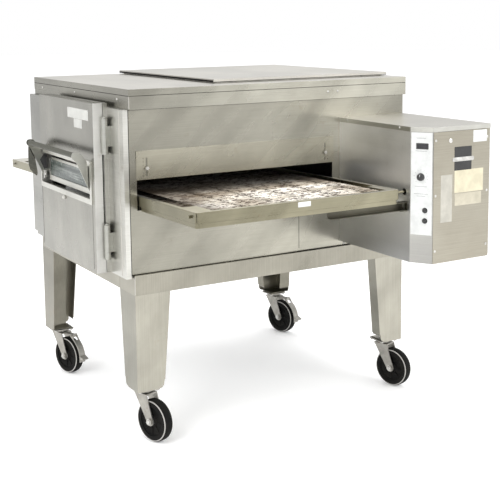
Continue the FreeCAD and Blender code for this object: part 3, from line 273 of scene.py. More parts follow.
def dark_glass():
    """Tinted window over a display."""
    material, tree, shader = new_material("display_glass")
    film = noise(tree, 60, (1, 1, 1), 4, 0.6)
    tree.links.new(ramp(tree, film, [(0.3, (0.01, 0.01, 0.012)), (0.75, (0.03, 0.03, 0.034))]),
                   shader.inputs["Base Color"])
    tree.links.new(spread(tree, film, 0.06, 0.22), shader.inputs["Roughness"])
    bump(tree, shader, film, 0.05, 0.2 * MM)
    return material


def belt_steel():
    """Wire worn bright by use, with crumbs, browned along its front edge, and darkened inside the oven up to its
    opening as painted shade.
    """
    material, tree, shader = new_material("belt_steel")
    bake = noise(tree, 3.4, (1, 0.6, 1), 4, 0.6)
    crumbs = noise(tree, 110, (1, 0.3, 1), 4, 0.7)
    base = ramp(tree, bake, [(0.36, (0.2, 0.155, 0.105)), (0.47, (0.56, 0.5, 0.41)),
                             (0.58, (0.95, 0.9, 0.82))])
    burnt = ramp(tree, crumbs, [(0.5, (0, 0, 0)), (0.57, (0.95, 0.95, 0.95))])
    speckled = mix(tree, burnt, base, (0.07, 0.045, 0.03))
    axes = object_axes(tree)
    # Painted shade: the wire is darkened inside the oven and up to its opening.
    mouth_shade = spread(tree, axes["X"], 1, 0, *MOUTH_SHADE_SPAN)
    edge = spread(tree, axes["Y"], 0.85, 0, *FRONT_EDGE_SPAN)
    shaded_inside = mix(tree, mouth_shade, speckled, mix(tree, 0.8, speckled, (0.02, 0.015, 0.01)))
    browned = mix(tree, edge, shaded_inside, mix(tree, 0.75, speckled, (0.03, 0.02, 0.013)))
    tree.links.new(browned, shader.inputs["Base Color"])
    shader.inputs["Metallic"].default_value = 0.4
    tree.links.new(spread(tree, crumbs, 0.35, 0.65), shader.inputs["Roughness"])
    bump(tree, shader, crumbs, 0.2, 0.3 * MM)
    return material


def floor_material():
    """Pale matt floor, faintly lit from below as a studio table is."""
    material, tree, shader = new_material("pale_floor")
    tone = noise(tree, 1.5, (1, 1, 1), 3, 0.5)
    tree.links.new(ramp(tree, tone, [(0.3, (0.97, 0.97, 0.97)), (0.7, (0.99, 0.99, 0.99))]),
                   shader.inputs["Base Color"])
    shader.inputs["Roughness"].default_value = 0.8
    shader.inputs["Emission Color"].default_value = (1, 1, 1, 1)
    shader.inputs["Emission Strength"].default_value = 0.16
    return material


# Each sheet's pale tone, dark tone and roughness, in linear colour.
STEEL = brushed_steel("cabinet_steel", (0.33, 0.318, 0.272), (0.23, 0.222, 0.188), 0.26, wipe=0.4)
# The end walls are darker towards the front, a painted shade gradient along Y.
WALL_STEEL = brushed_steel("wall_steel", (0.373, 0.36, 0.307), (0.26, 0.251, 0.212), 0.26, wipe=0.4,
                           shade_gradient=("Y", -0.6, 0.6, (0.74, 0.78, 1.0, 1.0, 0.95)))
# The lid's skirt and cover are darker towards the front, a painted shade gradient along Y.
BAND_STEEL = brushed_steel("lid_steel", (0.5, 0.485, 0.42), (0.34, 0.33, 0.28), 0.26,
                           shade_gradient=("Y", -0.5, 0.6, (0.54, 1.0, 1.0)))
EYEBROW_STEEL = brushed_steel("eyebrow_steel", (0.385, 0.366, 0.3), (0.25, 0.237, 0.19), 0.26, wipe=0.4)
DOOR_STEEL = brushed_steel("door_steel", (0.3, 0.293, 0.263), (0.215, 0.21, 0.188), 0.26, DOOR_GRAIN,
                           wipe=0.4, slant=DOOR_SLANT)
# A much paler copy of the door's sheet for the door's right-hand side: painted light.
LIT_STILE_STEEL = brushed_steel("lit_stile_steel", (0.7, 0.695, 0.67), (0.5, 0.495, 0.475), 0.42)
# The front frame is darker away from its right edge, a painted shade gradient along X.
FRAME_STEEL = brushed_steel("frame_steel", (0.56, 0.555, 0.52), (0.4, 0.395, 0.365), 0.28, wipe=0.4,
                            shade_gradient=("X", -0.6, 0.39, (0.6, 0.6, 0.6, 1.0)))
BRIGHT_STEEL = brushed_steel("bright_steel", (0.6, 0.595, 0.55), (0.45, 0.445, 0.41), 0.3)
HINGE_STEEL = brushed_steel("hinge_steel", (0.4, 0.4, 0.37), (0.28, 0.28, 0.25), 0.28)
TOP_STEEL = brushed_steel("top_steel", (0.48, 0.465, 0.43), (0.4, 0.39, 0.36), 0.4, TOP_GRAIN, 0.12, 0.15)
BASE_STEEL = brushed_steel("base_steel", (0.31, 0.296, 0.252), (0.22, 0.21, 0.175), 0.28, BASE_GRAIN)
LEG_STEEL = brushed_steel("leg_steel", (0.37, 0.355, 0.305), (0.265, 0.255, 0.215), 0.3, LEG_GRAIN)
# A darker copy of the leg steel for the right legs' front faces: painted shade.
LEG_SHADE_STEEL = brushed_steel("leg_shade_steel", (0.27, 0.262, 0.225), (0.19, 0.184, 0.155), 0.3,
                                LEG_GRAIN)
# A still darker copy of the leg steel for the left legs: painted shade.
SHADED_LEG_STEEL = brushed_steel("shaded_leg_steel", (0.23, 0.218, 0.18), (0.14, 0.134, 0.108), 0.3, LEG_GRAIN)
CONTROL_STEEL = brushed_steel("control_steel", (0.37, 0.365, 0.345), (0.3, 0.295, 0.28), 0.36, stain=0.15)
# A near-white copy of the control steel for the control box's front: painted light, darker towards the bottom as
# painted shade.
LIT_FRONT_STEEL = brushed_steel("lit_control_front_steel", (0.97, 0.97, 0.96), (0.76, 0.76, 0.75), 0.4,
                            stain=0.15, shade_gradient=("Z", 0.68, 1.0, (0.42, 1.0)))
SIDE_STEEL = brushed_steel("side_steel", (0.36, 0.338, 0.282), (0.31, 0.288, 0.237), 0.36, stain=0.15,
                           wipe=0.12)
RAIL_STEEL = brushed_steel("rail_steel", (0.3, 0.28, 0.2), (0.17, 0.158, 0.11), 0.28, RAIL_GRAIN)
# A pale copy of the rail steel for the conveyor frame's top faces: painted highlight.
LIP_HIGHLIGHT_STEEL = brushed_steel("lip_highlight_steel", (0.58, 0.56, 0.5), (0.4, 0.385, 0.33), 0.35)
# Near-black sheet for the conveyor supports: painted shadow.
SHADOW_STEEL = brushed_steel("shadow_steel", (0.12, 0.115, 0.09), (0.06, 0.055, 0.045), 0.35)
GALVANISED = brushed_steel("galvanised_sheet", (0.6, 0.61, 0.61), (0.46, 0.47, 0.48), 0.42, NO_GRAIN, 0.1)
ZINC = plated("zinc_plate", (0.66, 0.65, 0.62))
FORK_ZINC = plated("fork_plate", (0.42, 0.405, 0.37), 0.34)
SCREW = plated("screw_plate", (0.72, 0.71, 0.68), 0.24)
# Near-black sheet: oven-side soot and dark joints, and also painted shadow in gaps and under edges.
SOOT_AND_SHADOW = soot_and_shadow_steel()
RUBBER = rubber()
BELT = belt_steel()
GLASS = smoked_glass()
DISPLAY = dark_glass()
# Pale grey rubber for the rings at the tread's shoulders: painted highlight.
SHOULDER_HIGHLIGHT_RUBBER = plastic("shoulder_highlight_rubber", (0.34, 0.33, 0.31), 0.5)
BLACK = plastic("black_plastic", (0.016, 0.016, 0.016))
GRIP = plastic("grip_sleeve", (0.042, 0.042, 0.03), 0.62, 300)
WHITE = plastic("white_overlay", (0.54, 0.55, 0.54), 0.42)
CREAM = plastic("cream_plate", (0.5, 0.46, 0.335), 0.5)
BUFF = plastic("buff_plate", (0.4, 0.37, 0.29), 0.5)
PAINT = plastic("motor_paint", (0.05, 0.052, 0.056), 0.45, 150)
INK = plastic("printing_ink", (0.14, 0.14, 0.15), 0.5)
GREY_LABEL = plastic("grey_label", (0.37, 0.355, 0.31), 0.45)
DOOR_PLATE = plastic("door_plate", (0.42, 0.42, 0.395), 0.4)
BUMPER = plastic("bumper_rubber", (0.42, 0.41, 0.38), 0.5)

NODE_MATERIALS = {
    "stainless": STEEL, "door_steel": DOOR_STEEL, "base_paint": BASE_STEEL, "leg_steel": LEG_STEEL,
    "zinc": FORK_ZINC, "tyre": RUBBER, "dark_steel": SOOT_AND_SHADOW, "glass": GLASS, "grip": GRIP,
    "hinge_steel": HINGE_STEEL, "rail_steel": RAIL_STEEL, "belt_wire": BELT, "overlay": WHITE,
    "black_plastic": BLACK, "control_steel": CONTROL_STEEL, "screw_steel": SCREW,
    "motor_paint": PAINT, "galvanised": GALVANISED,
}
# Nodes whose sheet differs in tone from the rest of its slot. The left legs take a darker copy of the leg steel
# and the conveyor supports a near-black sheet, both painted shade, and the end walls, the lid's skirt and cover
# and the front frame carry painted shade gradients.
NODE_OVERRIDES = {
    "top_skirt": BAND_STEEL, "top_cover": BAND_STEEL, "top_panel": TOP_STEEL,
    "eyebrow_right": EYEBROW_STEEL, "eyebrow_left": EYEBROW_STEEL,
    "end_panel_right": WALL_STEEL, "end_panel_left": WALL_STEEL, "front_frame": FRAME_STEEL,
    "window_trim": BRIGHT_STEEL, "window_sash": BRIGHT_STEEL,
    "leg_front_left": SHADED_LEG_STEEL, "leg_rear_left": SHADED_LEG_STEEL,
    "control_side_panel": SIDE_STEEL, "control_top": BRIGHT_STEEL, "door_bumper": BUMPER,
    "conveyor_supports": SHADOW_STEEL, "crumb_pan": RAIL_STEEL, "cross_rods": SOOT_AND_SHADOW,
    "drive_shaft": RAIL_STEEL,
}
# Faces that take another material than the rest of their node, picked by the way they face. The lid's and control
# box's top faces take the top sheet's finish. The door's right side, the control box's front and the conveyor
# frame's top take paler copies, painted light, and the right legs' fronts a darker copy, painted shade.
UP, RIGHT, FRONT = (0, 0, 1), (1, 0, 0), (0, -1, 0)
FACE_OVERRIDES = {
    "top_cover": (UP, TOP_STEEL), "control_top": (UP, TOP_STEEL), "conveyor_frame": (UP, LIP_HIGHLIGHT_STEEL),
    "door_shell": (RIGHT, LIT_STILE_STEEL), "control_box": (FRONT, LIT_FRONT_STEEL),
    "leg_front_right": (FRONT, LEG_SHADE_STEEL), "leg_rear_right": (FRONT, LEG_SHADE_STEEL),
}


def dress_nodes():
    """Give each CAD node the material of its slot, and its odd nodes and faces their own."""
    for entry in frame["record"]["subparts"]:
        mesh = NODES[entry["node"]].data
        mesh.materials.clear()
        mesh.materials.append(NODE_MATERIALS[entry["material_slot"]])
    for node, material in NODE_OVERRIDES.items():
        NODES[node].data.materials[0] = material
    for node, (direction, material) in FACE_OVERRIDES.items():
        mesh = NODES[node].data
        mesh.materials.append(material)
        for polygon in mesh.polygons:
            if polygon.normal.dot(Vector(direction)) > 0.9:
                polygon.material_index = 1


# ---- mesh helpers ----------------------------------------------------------

def finish_piece(name, bm, material, body, smooth=35):
    """Turn a bmesh into an object that rides on a body."""
    mesh = bpy.data.meshes.new(name)
    bm.normal_update()
    bm.to_mesh(mesh)
    bm.free()
    mesh.materials.append(material)
    mesh.shade_smooth()
    mesh.set_sharp_from_angle(angle=math.radians(smooth))
    piece = bpy.data.objects.new(name, mesh)
    bpy.context.scene.collection.objects.link(piece)
    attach(piece, body)
    return piece


def box_into(bm, low, high, radius=0.0, segments=2, place=Matrix.Identity(4)):
    """A box with rounded edges, added to a bmesh."""
    low, high = Vector(low), Vector(high)
    middle, span = (low + high) / 2, high - low
    made = bmesh.ops.create_cube(bm, size=1)["verts"]
    bmesh.ops.scale(bm, vec=span, verts=made)
    bmesh.ops.translate(bm, vec=middle, verts=made)
    if radius:
        edges = list({e for v in made for e in v.link_edges})
        result = bmesh.ops.bevel(bm, geom=edges, offset=radius, segments=segments, affect="EDGES",
                                 profile=0.5)
        made = list({v for f in result["faces"] for v in f.verts} | {v for v in made if v.is_valid})
    bmesh.ops.transform(bm, matrix=place, verts=made)


def lathe_into(bm, profile, place, segments=48):
    """A solid turned about local Z from (radius, height) points."""
    rings = []
    for radius, height in profile:
        if radius < 1e-6:
            rings.append([bm.verts.new(place @ Vector((0, 0, height)))])
            continue
        ring = []
        for i in range(segments):
            angle = 2 * math.pi * i / segments
            x, y = radius * math.cos(angle), radius * math.sin(angle)
            ring.append(bm.verts.new(place @ Vector((x, y, height))))
        rings.append(ring)
    for lower, upper in zip(rings, rings[1:]):
        for i in range(segments):
            a, b = lower[i % len(lower)], lower[(i + 1) % len(lower)]
            c, d = upper[(i + 1) % len(upper)], upper[i % len(upper)]
            corners = []
            for vertex in (a, b, c, d):
                if vertex not in corners:
                    corners.append(vertex)
            if len(corners) > 2:
                bm.faces.new(corners)


def facing(point, normal, spin=0.0):
    """A place at a point, with local Z along a normal and a turn about it."""
    turn = Vector(normal).to_track_quat("Z", "Y").to_matrix().to_4x4()
    return Matrix.Translation(Vector(point)) @ turn @ Matrix.Rotation(spin, 4, "Z")


def plate_into(bm, width, height, thickness, radius, place, segments=5):
    """A thin plate with rounded corners and eased rims, centred on local XY."""
    radius = min(radius, width / 2 - 1e-5, height / 2 - 1e-5)
    outline = []
    for sx, sy, start in ((1, 1, 0), (-1, 1, 90), (-1, -1, 180), (1, -1, 270)):
        for i in range(segments + 1):
            angle = math.radians(start + 90 * i / segments)
            outline.append((sx * (width / 2 - radius) + radius * math.cos(angle),
                            sy * (height / 2 - radius) + radius * math.sin(angle)))
    ease = min(thickness * 0.4, radius * 0.5)
    rings = []
    for inset, level in ((0, 0), (0, thickness - ease), (ease, thickness)):
        ring = []
        scale_x, scale_y = 1 - 2 * inset / width, 1 - 2 * inset / height
        for x, y in outline:
            ring.append(bm.verts.new(place @ Vector((x * scale_x, y * scale_y, level))))
        rings.append(ring)
    count = len(outline)
    for lower, upper in zip(rings, rings[1:]):
        for i in range(count):
            j = (i + 1) % count
            bm.faces.new((lower[i], lower[j], upper[j], upper[i]))
    bm.faces.new(rings[-1])
    bm.faces.new(rings[0][::-1])


def screw_into(bm, point, normal, radius=4.2 * MM, height=2.0 * MM, spin=0.4):
    """A pan-head screw with a cross recess."""
    place = facing(point, normal, spin)
    dome = [(radius, 0), (radius, height * 0.35), (radius * 0.86, height * 0.72),
            (radius * 0.55, height * 0.94), (radius * 0.3, height)]
    lathe_into(bm, dome, place, 20)
    floor = height * 0.45
    lathe_into(bm, [(radius * 0.3, height), (radius * 0.16, floor), (0, floor * 0.8)], place, 4)


BOLT_SPIN = 0.2


def bolt_into(bm, point, normal, radius=7 * MM, height=5 * MM):
    """A hexagon bolt head on a washer."""
    place = facing(point, normal, BOLT_SPIN)
    lathe_into(bm, [(radius * 1.35, 0), (radius * 1.35, 1.2 * MM), (radius, 1.4 * MM)], place, 28)
    head = [(radius, 1.2 * MM), (radius, height * 0.85), (radius * 0.84, height), (0, height)]
    lathe_into(bm, head, place, 6)


# ---- casters ---------------------------------------------------------------

TREAD_HALF = 19 * MM
TREAD_BORE = 54 * MM
SPOKES = 8
PLATE_BOLT_REACH = 33 * MM
PLATE_BOLT_DROP = 4 * MM
AXLE_NUT_REACH = 30.5 * MM


def caster_axis(corner):
    """A wheel's centre and its axle's direction."""
    joint = JOINTS[f"roll_{corner}"]
    return Vector(joint["pos_m"]), Vector(joint["axis"]).normalized()


def make_wheel(corner):
    """A moulded tread on a ribbed core, with pale rings at its shoulders as painted highlights, and bearing caps.
    """
    centre, axle = caster_axis(corner)
    place = facing(centre, axle)
    low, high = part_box(f"caster_wheel_{corner}")
    radius = (high.z - low.z) / 2
    half = TREAD_HALF
    body = f"wheel_{corner}"
    tread = [(TREAD_BORE, -half + 1 * MM), (radius - 10 * MM, -half), (radius - 4 * MM, -half + 1.6 * MM),
             (radius - 1.2 * MM, -half + 6 * MM), (radius, -half + 12 * MM), (radius, half - 12 * MM),
             (radius - 1.2 * MM, half - 6 * MM), (radius - 4 * MM, half - 1.6 * MM),
             (radius - 10 * MM, half), (TREAD_BORE, half - 1 * MM)]
    bm = bmesh.new()
    lathe_into(bm, tread, place, 96)
    tyre = finish_piece(f"tyre_{corner}", bm, RUBBER, body)
    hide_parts(f"caster_wheel_{corner}")
    bm = bmesh.new()
    for side in (1, -1):
        half_core = [(55, 0), (55, 14), (52, 16.5), (48, 13), (24, 11), (20, 17), (17, 20.5), (9, 21),
                     (6.2, 21), (6.2, 0)]
        lathe_into(bm, [(r * MM, side * (z * MM)) for r, z in half_core], place, 64)
        for step in range(SPOKES):
            spoke = place @ Matrix.Rotation(step * 2 * math.pi / SPOKES, 4, "Z")
            ends = sorted((side * 10 * MM, side * 15 * MM))
            box_into(bm, (22 * MM, -1.8 * MM, ends[0]), (50 * MM, 1.8 * MM, ends[1]), 0.8 * MM, 2, spoke)
    bmesh.ops.recalc_face_normals(bm, faces=bm.faces)
    finish_piece(f"wheel_core_{corner}", bm, RUBBER, body)
    # Pale rings where the tread's shoulders catch the light: painted highlights.
    bm = bmesh.new()
    for side in (1, -1):
        ring = [(radius - 7 * MM, side * (half - 0.6 * MM)), (radius - 6.4 * MM, side * (half + 0.1 * MM)),
                (radius - 4.2 * MM, side * (half - 0.6 * MM)), (radius - 3.4 * MM, side * (half - 2.4 * MM))]
        lathe_into(bm, ring, place, 96)
    bmesh.ops.recalc_face_normals(bm, faces=bm.faces)
    finish_piece(f"shoulder_highlights_{corner}", bm, SHOULDER_HIGHLIGHT_RUBBER, body)
    bm = bmesh.new()
    for side in (1, -1):
        lathe_into(bm, [(16 * MM, side * 20 * MM), (15.5 * MM, side * 21.4 * MM), (7 * MM, side * 21.6 * MM),
                        (6.3 * MM, side * 21 * MM)], place, 40)
    bmesh.ops.recalc_face_normals(bm, faces=bm.faces)
    finish_piece(f"wheel_caps_{corner}", bm, ZINC, body)


def make_caster_bolts(corner):
    """Four bolts that hold a caster's plate to its leg, and the axle's nuts."""
    swivel = Vector(JOINTS[f"swivel_{corner}"]["pos_m"])
    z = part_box("caster_plates")[1].z - PLATE_BOLT_DROP
    bm = bmesh.new()
    for sx in (-1, 1):
        for sy in (-1, 1):
            point = (swivel.x + sx * PLATE_BOLT_REACH, swivel.y + sy * PLATE_BOLT_REACH, z)
            bolt_into(bm, point, (0, 0, -1), 6 * MM)
    finish_piece(f"caster_bolts_{corner}", bm, ZINC, "cabinet")
    centre, axle = caster_axis(corner)
    bm = bmesh.new()
    for side in (1, -1):
        bolt_into(bm, centre + axle * side * AXLE_NUT_REACH, axle * side, 8.5 * MM, 6 * MM)
    finish_piece(f"axle_nuts_{corner}", bm, ZINC, f"fork_{corner}")


# ---- conveyor --------------------------------------------------------------

BELT_RADIUS = 15 * MM
BELT_PITCH = 12.7 * MM
BELT_STRANDS = 11
WIRE = 1.5 * MM
SHAFT_INSET = 40 * MM
TAG_SIZE = (50 * MM, 17 * MM)
TAG_PLACE = (-140 * MM, 883 * MM)


def conveyor_place():
    """The drive shaft's place, with local X along the tilted conveyor, and the way to the idler."""
    drive = Vector(JOINTS["drive_shaft_spin"]["pos_m"])
    idler = Vector(JOINTS["idler_shaft_spin"]["pos_m"])
    along = Vector((drive.x - idler.x, 0, drive.z - idler.z))
    tilt = math.atan2(along.z, along.x)
    return Matrix.Translation((drive.x, 0, drive.z)) @ Matrix.Rotation(-tilt, 4, "Y"), along.length


def make_belt():
    """A flat wire belt: cross wires that step to and fro, all round the loop."""
    low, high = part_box("conveyor_belt")
    place, straight = conveyor_place()
    run = BELT_RADIUS - 1.4 * MM
    length = 2 * straight + 2 * math.pi * run
    count = round(length / BELT_PITCH)
    pitch = length / count
    strand = (high.y - low.y) / BELT_STRANDS

    def on_loop(s):
        """Point and outward direction at a distance along the loop."""
        s %= length
        if s < straight:
            return Vector((s - straight, 0, run)), Vector((0, 0, 1))
        s -= straight
        if s < math.pi * run:
            out = Vector((math.sin(s / run), 0, math.cos(s / run)))
            return out * run, out
        s -= math.pi * run
        if s < straight:
            return Vector((-s, 0, -run)), Vector((0, 0, -1))
        s -= straight
        out = Vector((-math.sin(s / run), 0, -math.cos(s / run)))
        return Vector((-straight, 0, 0)) + out * run, out

    bm = bmesh.new()
    for index in range(count):
        home = index * pitch
        path = []
        for part in range(BELT_STRANDS):
            y = low.y + part * strand
            lead = pitch * 0.4 if part % 2 else -pitch * 0.4
            path.append((home + lead, y + WIRE, 0))
            path.append((home + lead, y + strand - 9 * MM, 0))
            path.append((home + lead * 0.4, y + strand - 5 * MM, 0.3 * MM))
            path.append((home - lead * 0.4, y + strand - 3 * MM, -0.3 * MM))
        rings = []
        for s, y, lift in path[:-2]:
            centre, out = on_loop(s)
            along = Vector((out.z, 0, -out.x))
            centre = centre + out * lift
            centre.y = y
            corners = [centre + (out * a + along * b) * WIRE
                       for a, b in ((1, 0), (0, 1), (-1, 0), (0, -1))]
            rings.append([bm.verts.new(place @ corner) for corner in corners])
        for first, second in zip(rings, rings[1:]):
            for i in range(4):
                j = (i + 1) % 4
                bm.faces.new((first[i], first[j], second[j], second[i]))
        bm.faces.new(rings[0][::-1])
        bm.faces.new(rings[-1])
    belt = finish_piece("belt_wires", bm, BELT, "cabinet", 60)
    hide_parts("conveyor_belt")


def make_rail_marks():
    """Screws on the conveyor's far rail and left end, and the small blank tag on its right end."""
    low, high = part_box("conveyor_frame")
    place, straight = conveyor_place()
    left = -straight - SHAFT_INSET
    bm = bmesh.new()
    for x in (left + 40 * MM, left + 300 * MM, -300 * MM, -60 * MM):
        screw_into(bm, place @ Vector((x, high.y, 0)), (0, 1, 0))
    for y in (low.y + 45 * MM, high.y - 45 * MM):
        screw_into(bm, place @ Vector((left, y, 0)), (-1, 0, 0))
    finish_piece("rail_screws", bm, SCREW, "cabinet")
    bm = bmesh.new()
    plate_into(bm, *TAG_SIZE, 0.5 * MM, 2 * MM, facing((high.x - 0.5 * MM, *TAG_PLACE), (1, 0, 0)))
    finish_piece("rail_tag", bm, WHITE, "cabinet")


# ---- cabinet ---------------------------------------------------------------

SKIRT_SIDE_SCREW_Z = 1213 * MM
SKIRT_SCREW_Z = 1218 * MM
BACK_SCREW_Z = (640 * MM, 900 * MM, 1160 * MM)
LEG_BOLT_INSET = 0.067
PANEL_JOINT_Y = 119
PANEL_JOINT_TOP = 745


def make_cabinet_fixings():
    """Screw heads on the top, the back and the end walls, and bolts under the base ring."""
    skirt_low, skirt_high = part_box("top_skirt")
    base_low, base_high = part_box("base_frame")
    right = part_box("end_panel_right")[1].x
    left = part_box("end_panel_left")[0].x
    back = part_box("rear_panel")[1].y
    bm = bmesh.new()
    for y in (241 * MM, 285 * MM):
        screw_into(bm, (skirt_high.x, y, SKIRT_SIDE_SCREW_Z), (1, 0, 0))
        screw_into(bm, (skirt_low.x, y, SKIRT_SIDE_SCREW_Z), (-1, 0, 0))
    for x in (skirt_low.x + 0.1, -0.03, skirt_high.x - 0.1):
        screw_into(bm, (x, skirt_low.y, SKIRT_SCREW_Z), (0, -1, 0))
        screw_into(bm, (x, skirt_high.y, SKIRT_SCREW_Z), (0, 1, 0))
    for x in (left + 0.06, left + 0.3, right - 0.3, right - 0.06):
        for z in BACK_SCREW_Z:
            screw_into(bm, (x, back, z), (0, 1, 0))
    for y in (-540 * MM, 580 * MM):
        for z in (BACK_SCREW_Z[0], BACK_SCREW_Z[-1]):
            screw_into(bm, (left, y, z), (-1, 0, 0))
    screw_into(bm, (right, 327 * MM, 615.5 * MM), (1, 0, 0), 5 * MM)
    finish_piece("cabinet_screws", bm, SCREW, "cabinet")
    bm = bmesh.new()
    for x in (base_low.x + LEG_BOLT_INSET, base_high.x - LEG_BOLT_INSET):
        for y in (base_low.y + LEG_BOLT_INSET, base_high.y - LEG_BOLT_INSET):
            bolt_into(bm, (x, y, base_low.z - 7.5 * MM), (0, 0, -1), 6 * MM)
    finish_piece("leg_bolts", bm, ZINC, "cabinet")


def strip(name, low, high, material, body="cabinet", ease=0.2 * MM):
    """A slim plate or line between two corners given in millimetres."""
    bm = bmesh.new()
    box_into(bm, [value * MM for value in low], [value * MM for value in high], ease, 1)
    return finish_piece(name, bm, material, body)


def make_seams():
    """Sealed joints between panels, painted shadows under the lid's and the raised panel's edges, and painted
    highlights on the front-right corners, as slim strips on the skins.
    """
    skirt_low, skirt_high = (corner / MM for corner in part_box("top_skirt"))
    cover_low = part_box("top_cover")[0] / MM
    frame_low, frame_high = (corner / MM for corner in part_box("front_frame"))
    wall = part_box("end_panel_right")[1].x / MM
    base_low, base_high = (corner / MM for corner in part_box("base_frame"))
    inner, outer = wall - 1, wall + PROUD
    for name, low, high in (
            ("base_seam", (inner, frame_high.y, base_high.z - 2), (outer, skirt_high.y, base_high.z + 2)),
            ("frame_seam", (inner, frame_high.y - 1.5, base_high.z), (outer, frame_high.y + 1, skirt_low.z)),
            ("panel_seam", (inner, PANEL_JOINT_Y - 1, base_high.z + 14),
             (outer, PANEL_JOINT_Y + 1, PANEL_JOINT_TOP)),
            ("lid_shadow", (inner, frame_high.y, skirt_low.z - 2.5), (outer, skirt_high.y, skirt_low.z)),
            ("cover_seam", (skirt_high.x - 1, skirt_low.y + 2, cover_low.z - 0.8),
             (skirt_high.x + PROUD, skirt_high.y - 2, cover_low.z + 1)),
            ("cover_front_seam", (skirt_low.x + 2, skirt_low.y - PROUD, cover_low.z - 1),
             (skirt_high.x - 2, skirt_low.y + 1, cover_low.z + 1))):
        strip(name, low, high, SOOT_AND_SHADOW)
    panel_low, panel_high = (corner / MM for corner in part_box("top_panel"))
    # Dark strips under the raised top panel's front and right edges: painted shadow in the gap beneath it.
    strip("panel_front_shadow", (panel_low.x + 1, panel_low.y - PROUD, panel_high.z - 11),
          (panel_high.x - 1, panel_low.y + 0.6, panel_high.z - 4), SOOT_AND_SHADOW)
    strip("panel_right_shadow", (panel_high.x - 0.6, panel_low.y + 1, panel_high.z - 11),
          (panel_high.x + PROUD, panel_high.y - 1, panel_high.z - 9), SOOT_AND_SHADOW)
    # Pale strips at the lid's, frame's and base's front-right corners: painted highlights.
    for name, x, y, bottom, top in (
            ("lid_corner_highlight", skirt_high.x, skirt_low.y, skirt_low.z, skirt_high.z),
            ("frame_corner_highlight", frame_high.x, frame_low.y, base_high.z, skirt_low.z),
            ("base_corner_highlight", base_high.x, base_low.y, base_low.z, base_high.z)):
        strip(name, (x - 2, y - PROUD, bottom + 3), (x + PROUD, y + 2, top - 3), TOP_STEEL)


THUMB_LOBES = 6


def make_thumb_screws():
    """Star knobs on the screws in the eyebrows' slots."""
    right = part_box("eyebrow_right")[1].x
    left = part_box("eyebrow_left")[0].x
    low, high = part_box("eyebrow_screws")
    z = (low.z + high.z) / 2
    places = []
    for y in (low.y + 7 * MM, high.y - 7 * MM):
        places += [((right, y, z), (1, 0, 0)), ((left, y, z), (-1, 0, 0))]
    bm = bmesh.new()
    for point, normal in places:
        place = facing(Vector(point) + Vector(normal) * 0.2 * MM, normal)
        stem = [(5.4 * MM, 0), (5.4 * MM, 1.4 * MM), (3 * MM, 1.8 * MM), (3 * MM, 3.6 * MM)]
        lathe_into(bm, stem, place, 24)
        for step in range(THUMB_LOBES):
            turn = Matrix.Rotation(step * 2 * math.pi / THUMB_LOBES, 4, "Z")
            lobe = place @ turn @ Matrix.Translation((4.4 * MM, 0, 0))
            lathe_into(bm, [(0, 3.4 * MM), (2.4 * MM, 3.6 * MM), (2.4 * MM, 8 * MM), (1.8 * MM, 9 * MM),
                            (0, 9.2 * MM)], lobe, 14)
        lathe_into(bm, [(4.8 * MM, 3.4 * MM), (4.8 * MM, 8.4 * MM), (0, 9.6 * MM)], place, 24)
    screws = finish_piece("thumb_screws", bm, ZINC, "cabinet")
    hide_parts("eyebrow_screws")


# ---- door ------------------------------------------------------------------

GRIP_RIBS = 26
DOOR_GAP_SHADOW_SPAN = (776, 1020)
# Width, height, middle X and middle Z of each plate on the door.
DOOR_PLATES = ((204, 37, 177, 1156.5), (80, 32, 178, 1121))
PIVOT_BLOCK_Y = (-645 * MM, -629 * MM)
PIVOT_BLOCK_Z = (872 * MM, 905 * MM)
PIVOT_SCREW = (-637 * MM, 888 * MM)
# Corners of the black plate in the left gusset, a painted dark reflection, as Y and Z.
REFLECTION_PAD_OUTLINE = ((-657, 947), (-642, 968), (-628, 965), (-628, 909), (-642, 909))


def make_grip():
    """The ribbed grip sleeve, with a shoulder at each gusset."""
    low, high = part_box("handle_grip")
    centre = (low + high) / 2
    radius = (high.z - low.z) / 2
    half = (high.x - low.x) / 2
    place = facing(centre, (1, 0, 0))
    bm = bmesh.new()
    sleeve = [(0, -half), (radius * 0.8, -half), (radius * 0.8, -half + 4 * MM),
              (radius * 0.97, -half + 5 * MM), (radius, -half + 8 * MM)]
    for step in range(GRIP_RIBS):
        z = -half + 12 * MM + (2 * half - 24 * MM) * step / (GRIP_RIBS - 1)
        sleeve += [(radius, z - 1 * MM), (radius * 0.985, z), (radius, z + 1 * MM)]
    sleeve += [(radius, half - 8 * MM), (radius * 0.97, half - 5 * MM), (radius * 0.8, half - 4 * MM),
               (radius * 0.8, half), (0, half)]
    lathe_into(bm, sleeve, place, 40)
    grip = finish_piece("grip_sleeve", bm, GRIP, "window_flap")
    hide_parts("handle_grip")


def make_door_fixings():
    """Screws round the window trim."""
    trim_low, trim_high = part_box("window_trim")
    bm = bmesh.new()
    for x in (trim_low.x + 14 * MM, (trim_low.x + trim_high.x) / 2, trim_high.x - 14 * MM):
        for z in (trim_low.z + 8 * MM, trim_high.z - 8 * MM):
            screw_into(bm, (x, trim_low.y, z), (0, -1, 0), 3.4 * MM, 1.6 * MM)
    finish_piece("trim_screws", bm, SCREW, "door")


